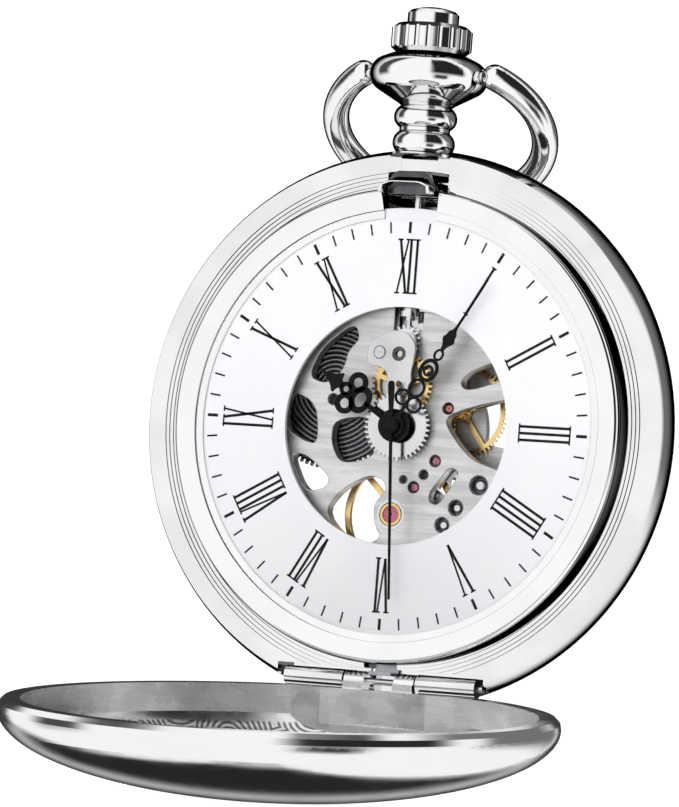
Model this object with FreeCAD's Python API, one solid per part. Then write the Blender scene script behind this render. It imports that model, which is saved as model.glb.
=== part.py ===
import FreeCAD, Part
import math
import os

# Open-faced view of a hunter pocket watch: the front cover is hinged at 6 o'clock and stands open.
# Millimetres. +X is 3 o'clock, +Z is 12 o'clock, the dial faces -Y and the back rests on the plane y = 0.
# Angles on the dial are clock angles: degrees clockwise from 12, seen from the front.

V = FreeCAD.Vector
os.makedirs("parts", exist_ok=True)

# ---- driving dimensions -------------------------------------------------------------------------
CASE_R = 23.5            # largest radius of the case band
FLANK_R = 3.45           # radius of the rounded band
FLANK_Y = -4.15          # depth of the band's widest line
SEAT_Y = -6.55           # flange the cover closes on
CASE_BACK_Y = -1.02      # back plane of the band, under the back bezel
CASE_BORE = 19.2         # bore that holds the movement
BEZEL_R = 20.0
DIAL_Y = -7.5            # front of the dial
DIAL_BACK_Y = -7.1
DIAL_WINDOW = 10.0       # radius of the window in the dial
DIAL_R = 18.3

HINGE_Y = -5.95
HINGE_Z = -21.45
HINGE_R = 0.85
HINGE_PIN_R = 0.3
CHORD_Z = 20.35          # flat cut across the case and cover at the hinge
COVER_OPEN = 95.5        # degrees from closed
COVER_R = 22.7
COVER_WALL_R = 20.9
COVER_WALL = 2.4         # depth of the straight wall inside the cover
COVER_LIP = 0.9          # straight edge outside, before the bowl curves in
COVER_HEIGHT = 7.4
COVER_SKIN = 0.7

PENDANT_Y = -6.0         # axis of pendant, stem and crown
PENDANT_BORE = 1.75
BALL_Z = 29.6
BALL_R = 5.0
BOW_PIVOT_Z = 29.7
BOW_PIVOT_X = 5.95
BOW_WIDE = 9.45          # half width of the oval ring, to the middle of its wire
BOW_TALL = 7.0           # half height of the oval ring
BOW_WIRE_R = 1.13
BOW_REST = 39.0          # degrees behind hanging straight down
CROWN_Z = 31.5
CROWN_R = 3.43
CROWN_H = 2.4
CROWN_FLUTES = 22
STEM_R = 0.45

PLATE_FRONT = -6.2
PLATE_BACK = -5.0
BRIDGE_FRONT = -2.55
BRIDGE_BACK = -1.75
MOVEMENT_R = 17.9

BARREL_AT = (-6.9, 3.05)
THIRD_AT = (4.14, 1.76)
ESCAPE_AT = (3.34, -2.69)
PALLET_AT = (1.57, -5.0)
BALANCE_AT = (-0.3, -7.4)
MINUTE_AT = (0.0, 3.5)
SETTING_AT = (0.0, 7.27)
CROWN_WHEEL_AT = (0.0, 8.9)
CLICK_AT = (-13.2, 7.2)
SETTING_SCREW_AT = (-2.45, 6.0)

HOUR_AT = 302.0          # where each hand points at rest
MINUTE_HAND_AT = 31.2
SECOND_AT = 176.0
BARREL_PILLARS = ((-15.4, 3.6), (-5.2, 15.0), (4.9, 14.4))
TRAIN_PILLARS = ((10.2, 11.2), (14.9, 2.6), (11.4, -4.4))
MIDDLE = (0.0, 0.0)
PLATE_HOLES = (
    (MIDDLE, 0.75),
    (THIRD_AT, 0.3),
    (ESCAPE_AT, 0.3),
    (BALANCE_AT, 0.75),
    (PALLET_AT, 0.3),
    ((4.0, 2.4), 0.34),
    ((4.25, -2.25), 0.2),
    ((6.9, -5.2), 0.55),
    ((4.9, -7.2), 0.45),
    ((3.9, -8.6), 0.45),
    ((2.4, -4.2), 0.25),
    (SETTING_SCREW_AT, 0.27),
    ((-11.8, -9.2), 0.6),
    ((11.2, 9.5), 0.6),
)
Y_DIRECTION = V(0, 1, 0)


# ---- small helpers ------------------------------------------------------------------------------
def spot(radius, clock, at=MIDDLE):
    """The x, z place at a clock angle round a point."""
    turn = math.radians(clock)
    return (at[0] + radius * math.sin(turn), at[1] + radius * math.cos(turn))


def clock_of(start, end):
    """Clock angle of the line from one place to another."""
    return math.degrees(math.atan2(end[0] - start[0], end[1] - start[1]))


def disc(radius, front, back, at=MIDDLE):
    """Solid cylinder along Y."""
    return Part.makeCylinder(radius, back - front, V(at[0], front, at[1]), Y_DIRECTION)


def tube(outer, inner, front, back, at=MIDDLE):
    """Ring along Y."""
    return disc(outer, front, back, at).cut(disc(inner, front - 0.1, back + 0.1, at))


def bar_z(radius, low, high, x=0.0, y=PENDANT_Y):
    """Solid cylinder along Z."""
    return Part.makeCylinder(radius, high - low, V(x, y, low), V(0, 0, 1))


def tube_z(outer, inner, low, high):
    return bar_z(outer, low, high).cut(bar_z(inner, low - 0.1, high + 0.1))


def bar_x(radius, left, right, y, z):
    """Solid cylinder along X."""
    return Part.makeCylinder(radius, right - left, V(left, y, z), V(1, 0, 0))


def box(x0, x1, y0, y1, z0, z1):
    return Part.makeBox(x1 - x0, y1 - y0, z1 - z0, V(x0, y0, z0))


def spun(points, base, direction, arcs=()):
    """Solid of revolution. arcs names the points that are the middle of a three-point arc."""
    edges = []
    count = len(points)
    step = 0
    while step < count:
        after = (step + 1) % count
        if after in arcs:
            end = (step + 2) % count
            edges.append(Part.Arc(points[step], points[after], points[end]).toShape())
            step += 2
        else:
            edges.append(Part.LineSegment(points[step], points[after]).toShape())
            step += 1
    face = Part.Face(Part.Wire(edges))
    return face.revolve(base, direction, 360)


def spun_y(profile, arcs=(), at=MIDDLE):
    """Revolve (radius, y) points about the watch's own axis or a line parallel to it."""
    points = [V(at[0] + radius, y, at[1]) for radius, y in profile]
    return spun(points, V(at[0], 0, at[1]), Y_DIRECTION, arcs)


def spun_z(profile, arcs=()):
    """Revolve (radius, z) points about the pendant axis."""
    points = [V(radius, PENDANT_Y, z) for radius, z in profile]
    return spun(points, V(0, PENDANT_Y, 0), V(0, 0, 1), arcs)


def flat(outlines, front, back):
    """Plate with holes from closed outlines of (x, z) points or wires."""
    wires = []
    for outline in outlines:
        if isinstance(outline, Part.Wire):
            wires.append(outline)
        else:
            corners = [V(x, front, z) for x, z in outline]
            wires.append(Part.makePolygon(corners + corners[:1]))
    face = Part.makeFace(wires, "Part::FaceMakerBullseye")
    return face.extrude(V(0, back - front, 0))


def dome_middle(radius, edge, apex):
    """Half-way point of a spherical arc that ends square to the axis."""
    rise = edge - apex
    ball = (radius ** 2 + rise ** 2) / (2 * rise)
    half = radius / 2
    return (half, apex + ball - math.copysign(math.sqrt(ball ** 2 - half ** 2), ball))


def ring_wire(radius, front, at=MIDDLE):
    return Part.Wire(Part.makeCircle(radius, V(at[0], front, at[1]), Y_DIRECTION))


def window_wire(inner, outer, start, end, front, at=MIDDLE):
    """Opening between two spokes: two arcs and two straight sides."""
    middle = (start + end) / 2

    def corner(radius, clock):
        x, z = spot(radius, clock, at)
        return V(x, front, z)

    far = Part.Arc(corner(outer, start), corner(outer, middle), corner(outer, end)).toShape()
    near = Part.Arc(corner(inner, end), corner(inner, middle), corner(inner, start)).toShape()
    down = Part.LineSegment(corner(outer, end), corner(inner, end)).toShape()
    up = Part.LineSegment(corner(inner, start), corner(outer, start)).toShape()
    return Part.Wire([far, down, near, up])


def spoke_windows(inner, outer, spokes, width, front, at=MIDDLE, first=0.0):
    wires = []
    for index in range(spokes):
        start = first + index * 360 / spokes
        half_in = math.degrees(math.asin(min(0.9, width / 2 / inner)))
        half_out = math.degrees(math.asin(width / 2 / outer))
        start_in = start + half_in
        end_in = start + 360 / spokes - half_in
        start_out = start + half_out
        end_out = start + 360 / spokes - half_out
        points = arc_points(outer, start_out, end_out, 12, at)
        points += arc_points(inner, end_in, start_in, 6, at)
        wires.append(points)
    return wires


def arc_points(radius, start, end, steps, at=MIDDLE):
    return [spot(radius, start + (end - start) * k / steps, at) for k in range(steps + 1)]


def tooth_outline(teeth, module, tooth_at, at, above, below, fill):
    """Outline of a clock wheel: straight flanks inside the pitch circle, rounded tips outside."""
    pitch = teeth * module / 2
    share = 360.0 / teeth
    half = share * fill / 2
    points = []
    for index in range(teeth):
        middle = tooth_at + index * share
        for offset, radius in ((-half, pitch - below), (-half, pitch), (-half * 0.6, pitch + above * 0.72),
                               (-half * 0.18, pitch + above), (half * 0.18, pitch + above),
                               (half * 0.6, pitch + above * 0.72), (half, pitch), (half, pitch - below)):
            points.append(spot(radius, middle + offset, at))
    return points


def wheel(teeth, module, tooth_at, at, front, back, hub, spokes, width, rim, bore=0.0):
    """Train wheel with spokes."""
    pitch = teeth * module / 2
    outlines = [tooth_outline(teeth, module, tooth_at, at, module, 1.3 * module, 0.42)]
    inside = pitch - 1.3 * module - rim
    if spokes:
        outlines += spoke_windows(hub, inside, spokes, width, front, at, tooth_at)
    if bore:
        outlines.append(ring_wire(bore, front, at))
    return flat(outlines, front, back)


def pinion(teeth, module, tooth_at, at, front, back, bore=0.0):
    """Small driven wheel with tall narrow leaves."""
    outlines = [tooth_outline(teeth, module, tooth_at, at, 0.75 * module, 1.25 * module, 0.36)]
    if bore:
        outlines.append(ring_wire(bore, front, at))
    return flat(outlines, front, back)


def facing(near, far, far_tooth, far_teeth, near_teeth):
    """Tooth angle of the wheel at near that puts its gap on a tooth of the wheel at far."""
    line = clock_of(far, near)
    far_share = 360.0 / far_teeth
    near_share = 360.0 / near_teeth
    lead = ((line - far_tooth) / far_share) % 1.0
    return line + 180 + near_share * (0.5 + lead)


def save(name, shape):
    shape.exportStep(os.path.join("parts", name + ".step"))


def group(solids):
    return Part.makeCompound(solids)


def opened(shape):
    """Swing a piece of the cover from closed to its open position."""
    turned = shape.copy()
    turned.rotate(V(0, HINGE_Y, HINGE_Z), V(1, 0, 0), COVER_OPEN)
    return turned


# ---- case ---------------------------------------------------------------------------------------
CENTRE_LINE = CASE_R - FLANK_R
SEAT_R = 22.95           # outer edge of the flange, a little proud of the round flank
BACK_R = CENTRE_LINE + math.sqrt(FLANK_R ** 2 - (CASE_BACK_Y - FLANK_Y) ** 2)
GROOVES = (20.3, 20.65, 21.0, 21.35)
GROOVE_WIDTH = 0.1
GROOVE_DEPTH = 0.12
KNUCKLE_IN = 3.3         # the case's own knuckles lie between these distances from the middle
KNUCKLE_OUT = 8.6
COVER_KNUCKLE_IN = 1.35
COVER_KNUCKLE_OUT = 3.15
HINGE_RELIEF = 1.15      # radius cleared round the hinge line
SPRING_HALF = 1.0
NOSE_HALF = 2.3
NOSE_LOW = 19.35
NOSE_HIGH = 21.35
NOSE_Y = -9.9            # front of the catch's nose
REST_R = 18.7            # outside of the flat ring the watch rests on
RELIEF_Z = -20.35


def case_body():
    middle = V(CASE_R, FLANK_Y, 0)
    points = [V(CASE_BORE, SEAT_Y, 0), V(SEAT_R, SEAT_Y, 0), middle, V(BACK_R, CASE_BACK_Y, 0),
              V(CASE_BORE, CASE_BACK_Y, 0)]
    body = spun(points, V(0, 0, 0), Y_DIRECTION, (2,))
    for radius in GROOVES:
        body = body.cut(tube(radius + GROOVE_WIDTH, radius, SEAT_Y - 0.1, SEAT_Y + GROOVE_DEPTH))
    # flat seat for the hinge, cut through the front of the band only
    depth = HINGE_Y + HINGE_RELIEF
    body = body.cut(box(-9.3, 9.3, SEAT_Y - 0.1, depth, -CASE_R - 1, RELIEF_Z))
    for side in (-1, 1):
        near = min(side * KNUCKLE_IN, side * KNUCKLE_OUT)
        far = max(side * KNUCKLE_IN, side * KNUCKLE_OUT)
        body = body.fuse(bar_x(HINGE_R, near, far, HINGE_Y, HINGE_Z))
        body = body.fuse(box(near, far, HINGE_Y, depth + 0.05, HINGE_Z - 0.5, HINGE_Z + 0.5))
    body = body.cut(bar_x(HINGE_PIN_R, -CASE_R, CASE_R, HINGE_Y, HINGE_Z))
    # slot that the lift spring comes through
    body = body.cut(box(-1.5, 1.5, SEAT_Y - 0.1, -4.6, -21.6, -18.5))
    # pocket for the catch, and the bore under the pendant
    body = body.cut(box(-2.75, 2.75, SEAT_Y - 0.1, -1.9, 18.3, 21.75))
    body = body.cut(bar_z(PENDANT_BORE, 18.5, CASE_R + 1))
    return body


def front_bezel():
    """Snap-on ring with a rounded crest, a slope down to the crystal and a ledge over the dial's edge."""
    inside = DIAL_R + 0.05
    profile = [(BEZEL_R, SEAT_Y), (BEZEL_R, -7.7), (19.72, -8.2), (19.0, -7.95), (18.16, -7.8),
               (18.16, -7.6), (17.45, -7.6), (17.45, DIAL_Y), (inside, DIAL_Y), (inside, SEAT_Y)]
    ring = spun_y(profile, (2,))
    return ring.cut(box(-2.6, 2.6, -9, SEAT_Y + 0.1, 18.7, 21))


def front_crystal():
    outside = dome_middle(17.4, -8.5, -9.75)
    inside = dome_middle(14.2, -8.62, -9.0)
    profile = [(0.0, -9.75), outside, (17.4, -8.5), (18.1, -7.98), (18.1, -7.6), (17.5, -7.6),
               (14.2, -8.62), inside, (0.0, -9.0)]
    return spun_y(profile, (1, 7))


def back_bezel():
    """Snap-on back ring: the watch rests on its flat, which ends short of the hanging bow."""
    profile = [(BACK_R, CASE_BACK_Y), (20.19, -0.26), (REST_R, 0.0), (17.5, 0.0), (17.2, -0.2),
               (16.9, -0.25), (16.9, -1.15), (16.4, -1.15), (16.4, -1.35), (19.1, -1.35),
               (19.1, CASE_BACK_Y)]
    return spun_y(profile, (1,))


def movement_ring():
    ring = tube(19.1, 17.98, SEAT_Y, -2.2).fuse(tube(DIAL_R, 17.98, DIAL_BACK_Y, SEAT_Y))
    ring = ring.cut(box(-3.0, 3.0, -8, -2, 15, 20))
    return ring.cut(box(-1.6, 1.6, -8, -4.5, -20, -15))


def hinge_pin():
    return bar_x(HINGE_PIN_R - 0.03, -KNUCKLE_OUT - 0.1, KNUCKLE_OUT + 0.5, HINGE_Y, HINGE_Z)


def lift_spring():
    """Flat spring with a rounded tab that pushes the cover open through the slot."""
    strip = box(-SPRING_HALF, SPRING_HALF, -5.1, -4.8, -20.9, -18.15)
    tab = box(-SPRING_HALF, SPRING_HALF, -6.6, -4.8, -20.9, -20.6)
    return strip.fuse(tab)


def catch():
    """Sliding catch: bevelled nose in front of the flange, shank in the pocket, finger to its spring."""
    front = [(-NOSE_HALF, NOSE_LOW), (NOSE_HALF, NOSE_LOW), (1.25, NOSE_HIGH), (-1.25, NOSE_HIGH)]
    side = [(NOSE_Y, NOSE_LOW), (NOSE_Y, 20.1), (-8.4, NOSE_HIGH), (-6.65, NOSE_HIGH), (-6.65, NOSE_LOW)]
    wire = Part.makePolygon([V(-NOSE_HALF, y, z) for y, z in side + side[:1]])
    nose = Part.Face(wire).extrude(V(2 * NOSE_HALF, 0, 0)).common(flat([front], NOSE_Y, -6.65))
    shank = box(-2.0, 2.0, -6.65, -4.6, NOSE_LOW, 20.6)
    finger = box(-0.8, 0.8, -4.6, -2.3, NOSE_LOW, 19.9)
    body = nose.fuse(shank).fuse(finger)
    return body.cut(bar_z(0.75, 18, 22))


def catch_spring():
    points = arc_points(18.95, -58, 58, 24) + arc_points(18.45, 58, -58, 24)
    return flat([points], -2.15, -1.7)


# ---- cover --------------------------------------------------------------------------------------
LIP_Y = SEAT_Y - 0.04    # the closed cover stops just clear of the flange


def cover_cut(shape):
    """Flat side of the cover at the hinge."""
    return shape.cut(box(-12, 12, -20, SEAT_Y + 1, -CASE_R - 2, -CHORD_Z))


def spun_outline(edges):
    return Part.Face(Part.Wire(edges)).revolve(V(0, 0, 0), Y_DIRECTION, 360)


def curve_through(profile):
    curve = Part.BSplineCurve()
    curve.interpolate([V(radius, y, 0) for radius, y in profile])
    return curve.toShape()


def straight(start, end):
    return Part.LineSegment(V(start[0], start[1], 0), V(end[0], end[1], 0)).toShape()


def elliptic(wide, start_y, depth, first, last, steps=8):
    """Points on an elliptic bowl between two angles from its edge, in degrees."""
    points = []
    for k in range(steps + 1):
        turn = math.radians(first + (last - first) * k / steps)
        points.append((wide * math.cos(turn), start_y - depth * math.sin(turn)))
    return points


BOWL_TOP = LIP_Y - COVER_LIP
BOWL_DEPTH = COVER_HEIGHT - COVER_LIP
SPLIT_Y = LIP_Y - COVER_WALL
SPLIT_ANGLE = math.degrees(math.asin((COVER_WALL - COVER_LIP) / BOWL_DEPTH))
CHORD_WALL = 0.8


def chord_wall(high, low):
    """Straight wall at the hinge, hollowed where it closes round the bezel."""
    wall = box(-12, 12, low, high, -CHORD_Z, -CHORD_Z + CHORD_WALL)
    return wall.cut(disc(BEZEL_R + 0.12, -9.6, LIP_Y + 0.1))


def cover_rim():
    side = elliptic(COVER_R, BOWL_TOP, BOWL_DEPTH, 0, SPLIT_ANGLE, 4)
    corner = (COVER_R - 0.45, LIP_Y)
    shoulder = (COVER_R - 0.08, LIP_Y - 0.4)
    outside = [straight(corner, shoulder), straight(shoulder, side[0]), curve_through(side)]
    outer = spun_outline(outside + [straight(side[-1], (0, SPLIT_Y)), straight((0, SPLIT_Y), (0, LIP_Y)),
                                    straight((0, LIP_Y), corner)])
    rim = cover_cut(outer.cut(disc(COVER_WALL_R, SPLIT_Y - 0.1, LIP_Y + 0.1)))
    rim = rim.fuse(chord_wall(LIP_Y, SPLIT_Y).common(outer))
    rim = rim.cut(box(-2.7, 2.7, SPLIT_Y, LIP_Y + 0.1, 20, 21.55))
    for side in (-1, 1):
        near = min(side * COVER_KNUCKLE_IN, side * COVER_KNUCKLE_OUT)
        far = max(side * COVER_KNUCKLE_IN, side * COVER_KNUCKLE_OUT)
        rim = rim.fuse(bar_x(HINGE_R - 0.05, near, far, HINGE_Y, HINGE_Z))
        rim = rim.fuse(box(near, far, LIP_Y - 0.9, LIP_Y, HINGE_Z, -CHORD_Z + 0.1))
        rim = rim.fuse(box(near, far, LIP_Y - 0.9, HINGE_Y, HINGE_Z - 0.5, RELIEF_Z - 0.05))
    return opened(rim.cut(bar_x(HINGE_PIN_R, -CASE_R, CASE_R, HINGE_Y, HINGE_Z)))


def bowl_solid(curve):
    """Solid bowl under the split plane from its curved side."""
    edges = [curve_through(curve), straight(curve[-1], (0, SPLIT_Y)), straight((0, SPLIT_Y), curve[0])]
    return spun_outline(edges)


def cover_dome():
    side = elliptic(COVER_R, BOWL_TOP, BOWL_DEPTH, SPLIT_ANGLE, 90)
    outer = bowl_solid(side)
    floor = elliptic(COVER_WALL_R, SPLIT_Y, COVER_HEIGHT - COVER_SKIN - COVER_WALL, 0, 90)
    inner = bowl_solid(floor)
    dome = cover_cut(outer.cut(inner))
    return opened(dome.fuse(chord_wall(SPLIT_Y, SPLIT_Y - 3).common(outer)))


# ---- pendant, bow, crown ------------------------------------------------------------------------
def pendant():
    """Collar, two beads, neck and the ball that carries the bow."""
    profile = [(PENDANT_BORE, 21.9), (2.7, 21.9), (2.75, 22.95), (2.25, 23.05), (2.64, 23.95),
               (2.15, 24.85), (2.15, 25.15), (2.68, 26.15), (2.15, 27.0), (2.4, 27.2), (4.3, 28.3),
               (BALL_R, BALL_Z),
               (4.1, 31.0), (3.3, 31.35), (2.4, 31.4), (PENDANT_BORE, 31.4)]
    body = spun_z(profile, (4, 7, 11))
    # the collar is trimmed to the rounded band and kept behind the cover
    band = spun([V(15, SEAT_Y, 0), V(SEAT_R, SEAT_Y, 0), V(CASE_R, FLANK_Y, 0), V(BACK_R, CASE_BACK_Y, 0),
                 V(15, CASE_BACK_Y, 0)], V(0, 0, 0), Y_DIRECTION, (2,))
    body = body.cut(band).cut(disc(COVER_R + 0.15, -14, SEAT_Y))
    for side in (-1, 1):
        body = body.cut(Part.makeSphere(BOW_WIRE_R + 0.2, V(side * BOW_PIVOT_X, PENDANT_Y, BOW_PIVOT_Z)))
        near = min(side * 3.9, side * 6)
        far = max(side * 3.9, side * 6)
        body = body.cut(bar_x(0.55, near, far, PENDANT_Y, BOW_PIVOT_Z))
    return body


def bow():
    """Oval wire ring whose two ends are sprung into dimples in the ball."""
    start = math.asin(BOW_PIVOT_X / BOW_WIDE)
    drop = BOW_TALL * math.cos(start)
    centre_z = BOW_PIVOT_Z - drop
    steps = 14
    points = []
    for k in range(steps + 1):
        turn = start + (2 * math.pi - 2 * start) * k / steps
        points.append(V(BOW_WIDE * math.sin(turn), PENDANT_Y, centre_z + BOW_TALL * math.cos(turn)))
    curve = Part.BSplineCurve()
    curve.interpolate(points)
    path = Part.Wire([curve.toShape()])
    tangent = curve.tangent(curve.FirstParameter)[0]
    section = Part.Wire([Part.makeCircle(BOW_WIRE_R, points[0], tangent)])
    body = path.makePipeShell([section], True, False)
    for side in (-1, 1):
        end = V(side * BOW_PIVOT_X, PENDANT_Y, BOW_PIVOT_Z)
        body = body.fuse(Part.makeSphere(BOW_WIRE_R, end))
        near = min(side * 4.1, side * 6)
        far = max(side * 4.1, side * 6)
        body = body.fuse(bar_x(0.48, near, far, PENDANT_Y, BOW_PIVOT_Z))
    body.rotate(V(0, PENDANT_Y, BOW_PIVOT_Z), V(1, 0, 0), BOW_REST)
    return body


def crown():
    """Fluted crown with a well for the push button, on a hollow stem that carries the winding stem."""
    low = CROWN_Z
    high = CROWN_Z + CROWN_H
    profile = [(0.95, low), (CROWN_R - 0.5, low), (CROWN_R, low + 0.4), (CROWN_R, high - 0.4),
               (CROWN_R - 0.5, high), (2.3, high), (2.3, high - 1.5), (0.95, high - 1.5)]
    body = spun_z(profile)
    for index in range(CROWN_FLUTES):
        turn = math.radians(index * 360 / CROWN_FLUTES)
        x = (CROWN_R + 0.12) * math.sin(turn)
        y = PENDANT_Y + (CROWN_R + 0.12) * math.cos(turn)
        body = body.cut(Part.makeCylinder(0.27, CROWN_H + 0.2, V(x, y, low - 0.1), V(0, 0, 1)))
    return body


PIN_Z = 24.7             # height of the button's cross pin
SLEEVE_Z = 22.95         # where the stem widens, above the cover's edge


def push_button():
    """Button in the crown, with a rod and a cross pin inside the hollow stem."""
    top = CROWN_Z + CROWN_H + 1.55
    base = CROWN_Z + CROWN_H - 0.25
    crest = (1.9, top - 0.32)
    middle = dome_middle(crest[0], crest[1], top)
    profile = [(0.0, base), (2.18, base), (2.18, top - 0.6), crest, middle, (0.0, top)]
    button = spun_z(profile, (4,))
    rod = bar_z(0.38, PIN_Z - 0.3, base)
    cross = bar_x(0.2, -1.5, 1.5, PENDANT_Y, PIN_Z)
    return button.fuse(rod).fuse(cross)


def winding_stem():
    """Thin stem that becomes a hollow sleeve above the cover, with a slot for the button's cross pin."""
    upper = bar_z(0.93, SLEEVE_Z, CROWN_Z + CROWN_H - 1.5).cut(bar_z(0.5, SLEEVE_Z + 0.2, 40))
    slot = box(-1.2, 1.2, PENDANT_Y - 0.25, PENDANT_Y + 0.25, PIN_Z - 1.45, PIN_Z + 0.3)
    lower = bar_z(STEM_R, 8.95, SLEEVE_Z + 0.05)
    return upper.cut(slot).fuse(lower)


def stem_sleeve():
    """Slotted sleeve in the pendant that holds the stem in its two positions."""
    sleeve = bar_z(1.6, 26.0, 31.0).cut(bar_z(1.0, 25, 32))
    return sleeve.cut(box(-0.2, 0.2, PENDANT_Y - 2, PENDANT_Y + 2, 25.9, 29.0))


# ---- dial and plates ----------------------------------------------------------------------------
def main_plate():
    """Skeleton main plate."""
    front = PLATE_FRONT
    cuts = [
        window_wire(6.0, 14.8, 250, 292, front),
        window_wire(5.2, 14.4, 205, 243, front),
        window_wire(5.0, 12.5, 75, 97, front),
        window_wire(5.4, 12.0, 52, 69, front),
        window_wire(9.4, 15.5, 298, 326, front),
        window_wire(3.0, 5.4, 262, 289, front),
        window_wire(5.2, 7.6, 104, 122, front),
    ]
    outlines = [ring_wire(MOVEMENT_R, front)] + cuts
    plate = flat(outlines, front, PLATE_BACK)
    for at, radius in PLATE_HOLES:
        plate = plate.cut(disc(radius, front - 0.1, PLATE_BACK + 0.1, at))
    for at, top in ((MINUTE_AT, -7.06), (SETTING_AT, -6.84)):
        plate = plate.fuse(disc(0.23, top, PLATE_FRONT + 0.1, at))
    plate = plate.cut(box(-1.35, 1.35, front - 0.1, PLATE_BACK + 0.1, 8.3, 12.6))
    return plate.cut(box(-0.75, 0.75, front - 0.1, PLATE_BACK + 0.1, 12, 18))


def dial():
    plate = disc(DIAL_R, DIAL_Y, DIAL_BACK_Y)
    return plate.cut(disc(DIAL_WINDOW, DIAL_Y - 0.1, DIAL_BACK_Y + 0.1))


def pillar(at, radius, back):
    return disc(radius, PLATE_BACK, back, at)


def barrel_bridge():
    points = [spot(17.2, 268), spot(17.2, 285), spot(17.2, 300), spot(17.2, 315), spot(17.2, 330),
              spot(17.2, 345), spot(17.2, 0), spot(17.2, 15), spot(17.2, 24), (4.6, 12.0), (3.0, 7.5),
              (0.6, 5.6), (-3.0, 4.6), (-4.2, 1.0), (-6.6, -0.6), (-10.5, -1.2)]
    bridge = flat([points], BRIDGE_FRONT, BRIDGE_BACK)
    bridge = bridge.cut(disc(0.8, -3, -1.5, BARREL_AT)).cut(disc(1.3, -3, -1.5, CROWN_WHEEL_AT))
    bridge = bridge.cut(flat([window_wire(2.6, 4.9, 200, 330, -3, BARREL_AT)], -3, -1.5))
    for at in BARREL_PILLARS:
        bridge = bridge.fuse(pillar(at, 0.9, BRIDGE_FRONT)).cut(disc(0.34, -6, -1, at))
    return bridge.cut(disc(0.32, -3, -1, CLICK_AT))


def train_bridge():
    points = [(9.5, 13.0), spot(17.2, 42), spot(17.2, 55), spot(17.2, 70), spot(17.2, 85), spot(17.2, 100),
              spot(17.2, 112), (10.0, -4.6), (5.2, -4.4), (2.4, -3.7), (-1.8, -1.6), (-1.8, 1.5),
               (1.8, 2.2),
              (3.4, 3.6), (5.8, 7.6)]
    bridge = flat([points], BRIDGE_FRONT, BRIDGE_BACK)
    bridge = bridge.cut(flat([window_wire(6.3, 10.6, 62, 98, -3)], -3, -1.5))
    for at in (MIDDLE, THIRD_AT, ESCAPE_AT):
        bridge = bridge.cut(disc(0.42, -3, -1.5, at))
    for at in TRAIN_PILLARS:
        bridge = bridge.fuse(pillar(at, 0.9, BRIDGE_FRONT)).cut(disc(0.34, -6, -1, at))
    return bridge


def balance_cock():
    """Arm over the balance, on one foot near 6 o'clock."""
    arm = flat([[(-1.9, -16.6), (1.3, -16.6), (1.5, -13.2), (1.1, -9.6), (0.95, -7.4), (0.6, -6.3),
                 (-0.3, -5.9),
                 (-1.2, -6.3), (-1.55, -7.4), (-1.7, -9.6), (-2.1, -13.2)]], -3.1, -2.2)
    foot = disc(1.5, PLATE_BACK, -3.1, (-0.3, -14.7))
    body = arm.fuse(foot).cut(disc(0.42, -4, -2, BALANCE_AT))
    return body.cut(disc(0.34, -6, -2, (-0.3, -15.2)))


def regulator():
    """Index lever round the balance jewel."""
    ring = tube(1.0, 0.62, -2.19, -2.0, BALANCE_AT)
    tail = flat([[(-0.55, -8.3), (-0.05, -8.3), (0.35, -10.9), (0.05, -11.0)]], -2.19, -2.0)
    return ring.fuse(tail)


def pallet_bridge():
    plate = flat([[(0.9, -5.7), (1.0, -4.5), (2.0, -4.3), (4.4, -5.9), (5.3, -6.2), (5.6, -7.2),
                   (4.9, -7.7),
                   (4.1, -7.3), (2.4, -5.8)]], -4.5, -4.3)
    foot = disc(0.5, PLATE_BACK, -4.5, (4.9, -6.9))
    return plate.fuse(foot).cut(disc(0.2, -4.6, -4.2, PALLET_AT))


# ---- going train --------------------------------------------------------------------------------
BARREL_TEETH = 84
BARREL_MODULE = 0.1604
CENTRE_TEETH = 64
CENTRE_MODULE = 0.125
THIRD_TEETH = 60
THIRD_MODULE = 0.13235
FOURTH_TEETH = 60
FOURTH_MODULE = 0.13
BARREL_TOOTH = 0.0
CENTRE_TOOTH = 0.0
FOURTH_TOOTH = 0.0
THIRD_TOOTH = 0.0


def barrel():
    ring = flat([tooth_outline(BARREL_TEETH, BARREL_MODULE, BARREL_TOOTH, BARREL_AT, BARREL_MODULE,
                               1.3 * BARREL_MODULE, 0.42), ring_wire(5.9, -4.9, BARREL_AT)], -4.9, -4.5)
    floor = tube(6.25, 0.8, -4.9, -4.75, BARREL_AT)
    wall = tube(6.25, 5.9, -4.9, -3.9, BARREL_AT)
    return ring.fuse(floor).fuse(wall)


def barrel_cover():
    return tube(6.25, 0.8, -3.9, -3.75, BARREL_AT)


def mainspring():
    """Wound ribbon lying between the arbor and the barrel wall."""
    turns = 8
    steps = 24 * turns
    outer = []
    inner = []
    for k in range(steps + 1):
        clock = 360 * k / 24
        radius = 2.6 + 3.1 * k / steps
        outer.append(spot(radius + 0.07, clock, BARREL_AT))
        inner.append(spot(radius - 0.07, clock, BARREL_AT))
    return flat([outer + inner[::-1]], -4.7, -4.0)


def barrel_arbor():
    shaft = disc(0.75, -4.98, BRIDGE_BACK - 0.05, BARREL_AT)
    core = tube(2.2, 0.7, -4.65, -4.05, BARREL_AT)
    square = box(BARREL_AT[0] - 0.45, BARREL_AT[0] + 0.45, BRIDGE_BACK - 0.05, -1.42, BARREL_AT[1] - 0.45,
                 BARREL_AT[1] + 0.45)
    return shaft.fuse(core).fuse(square)


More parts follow.
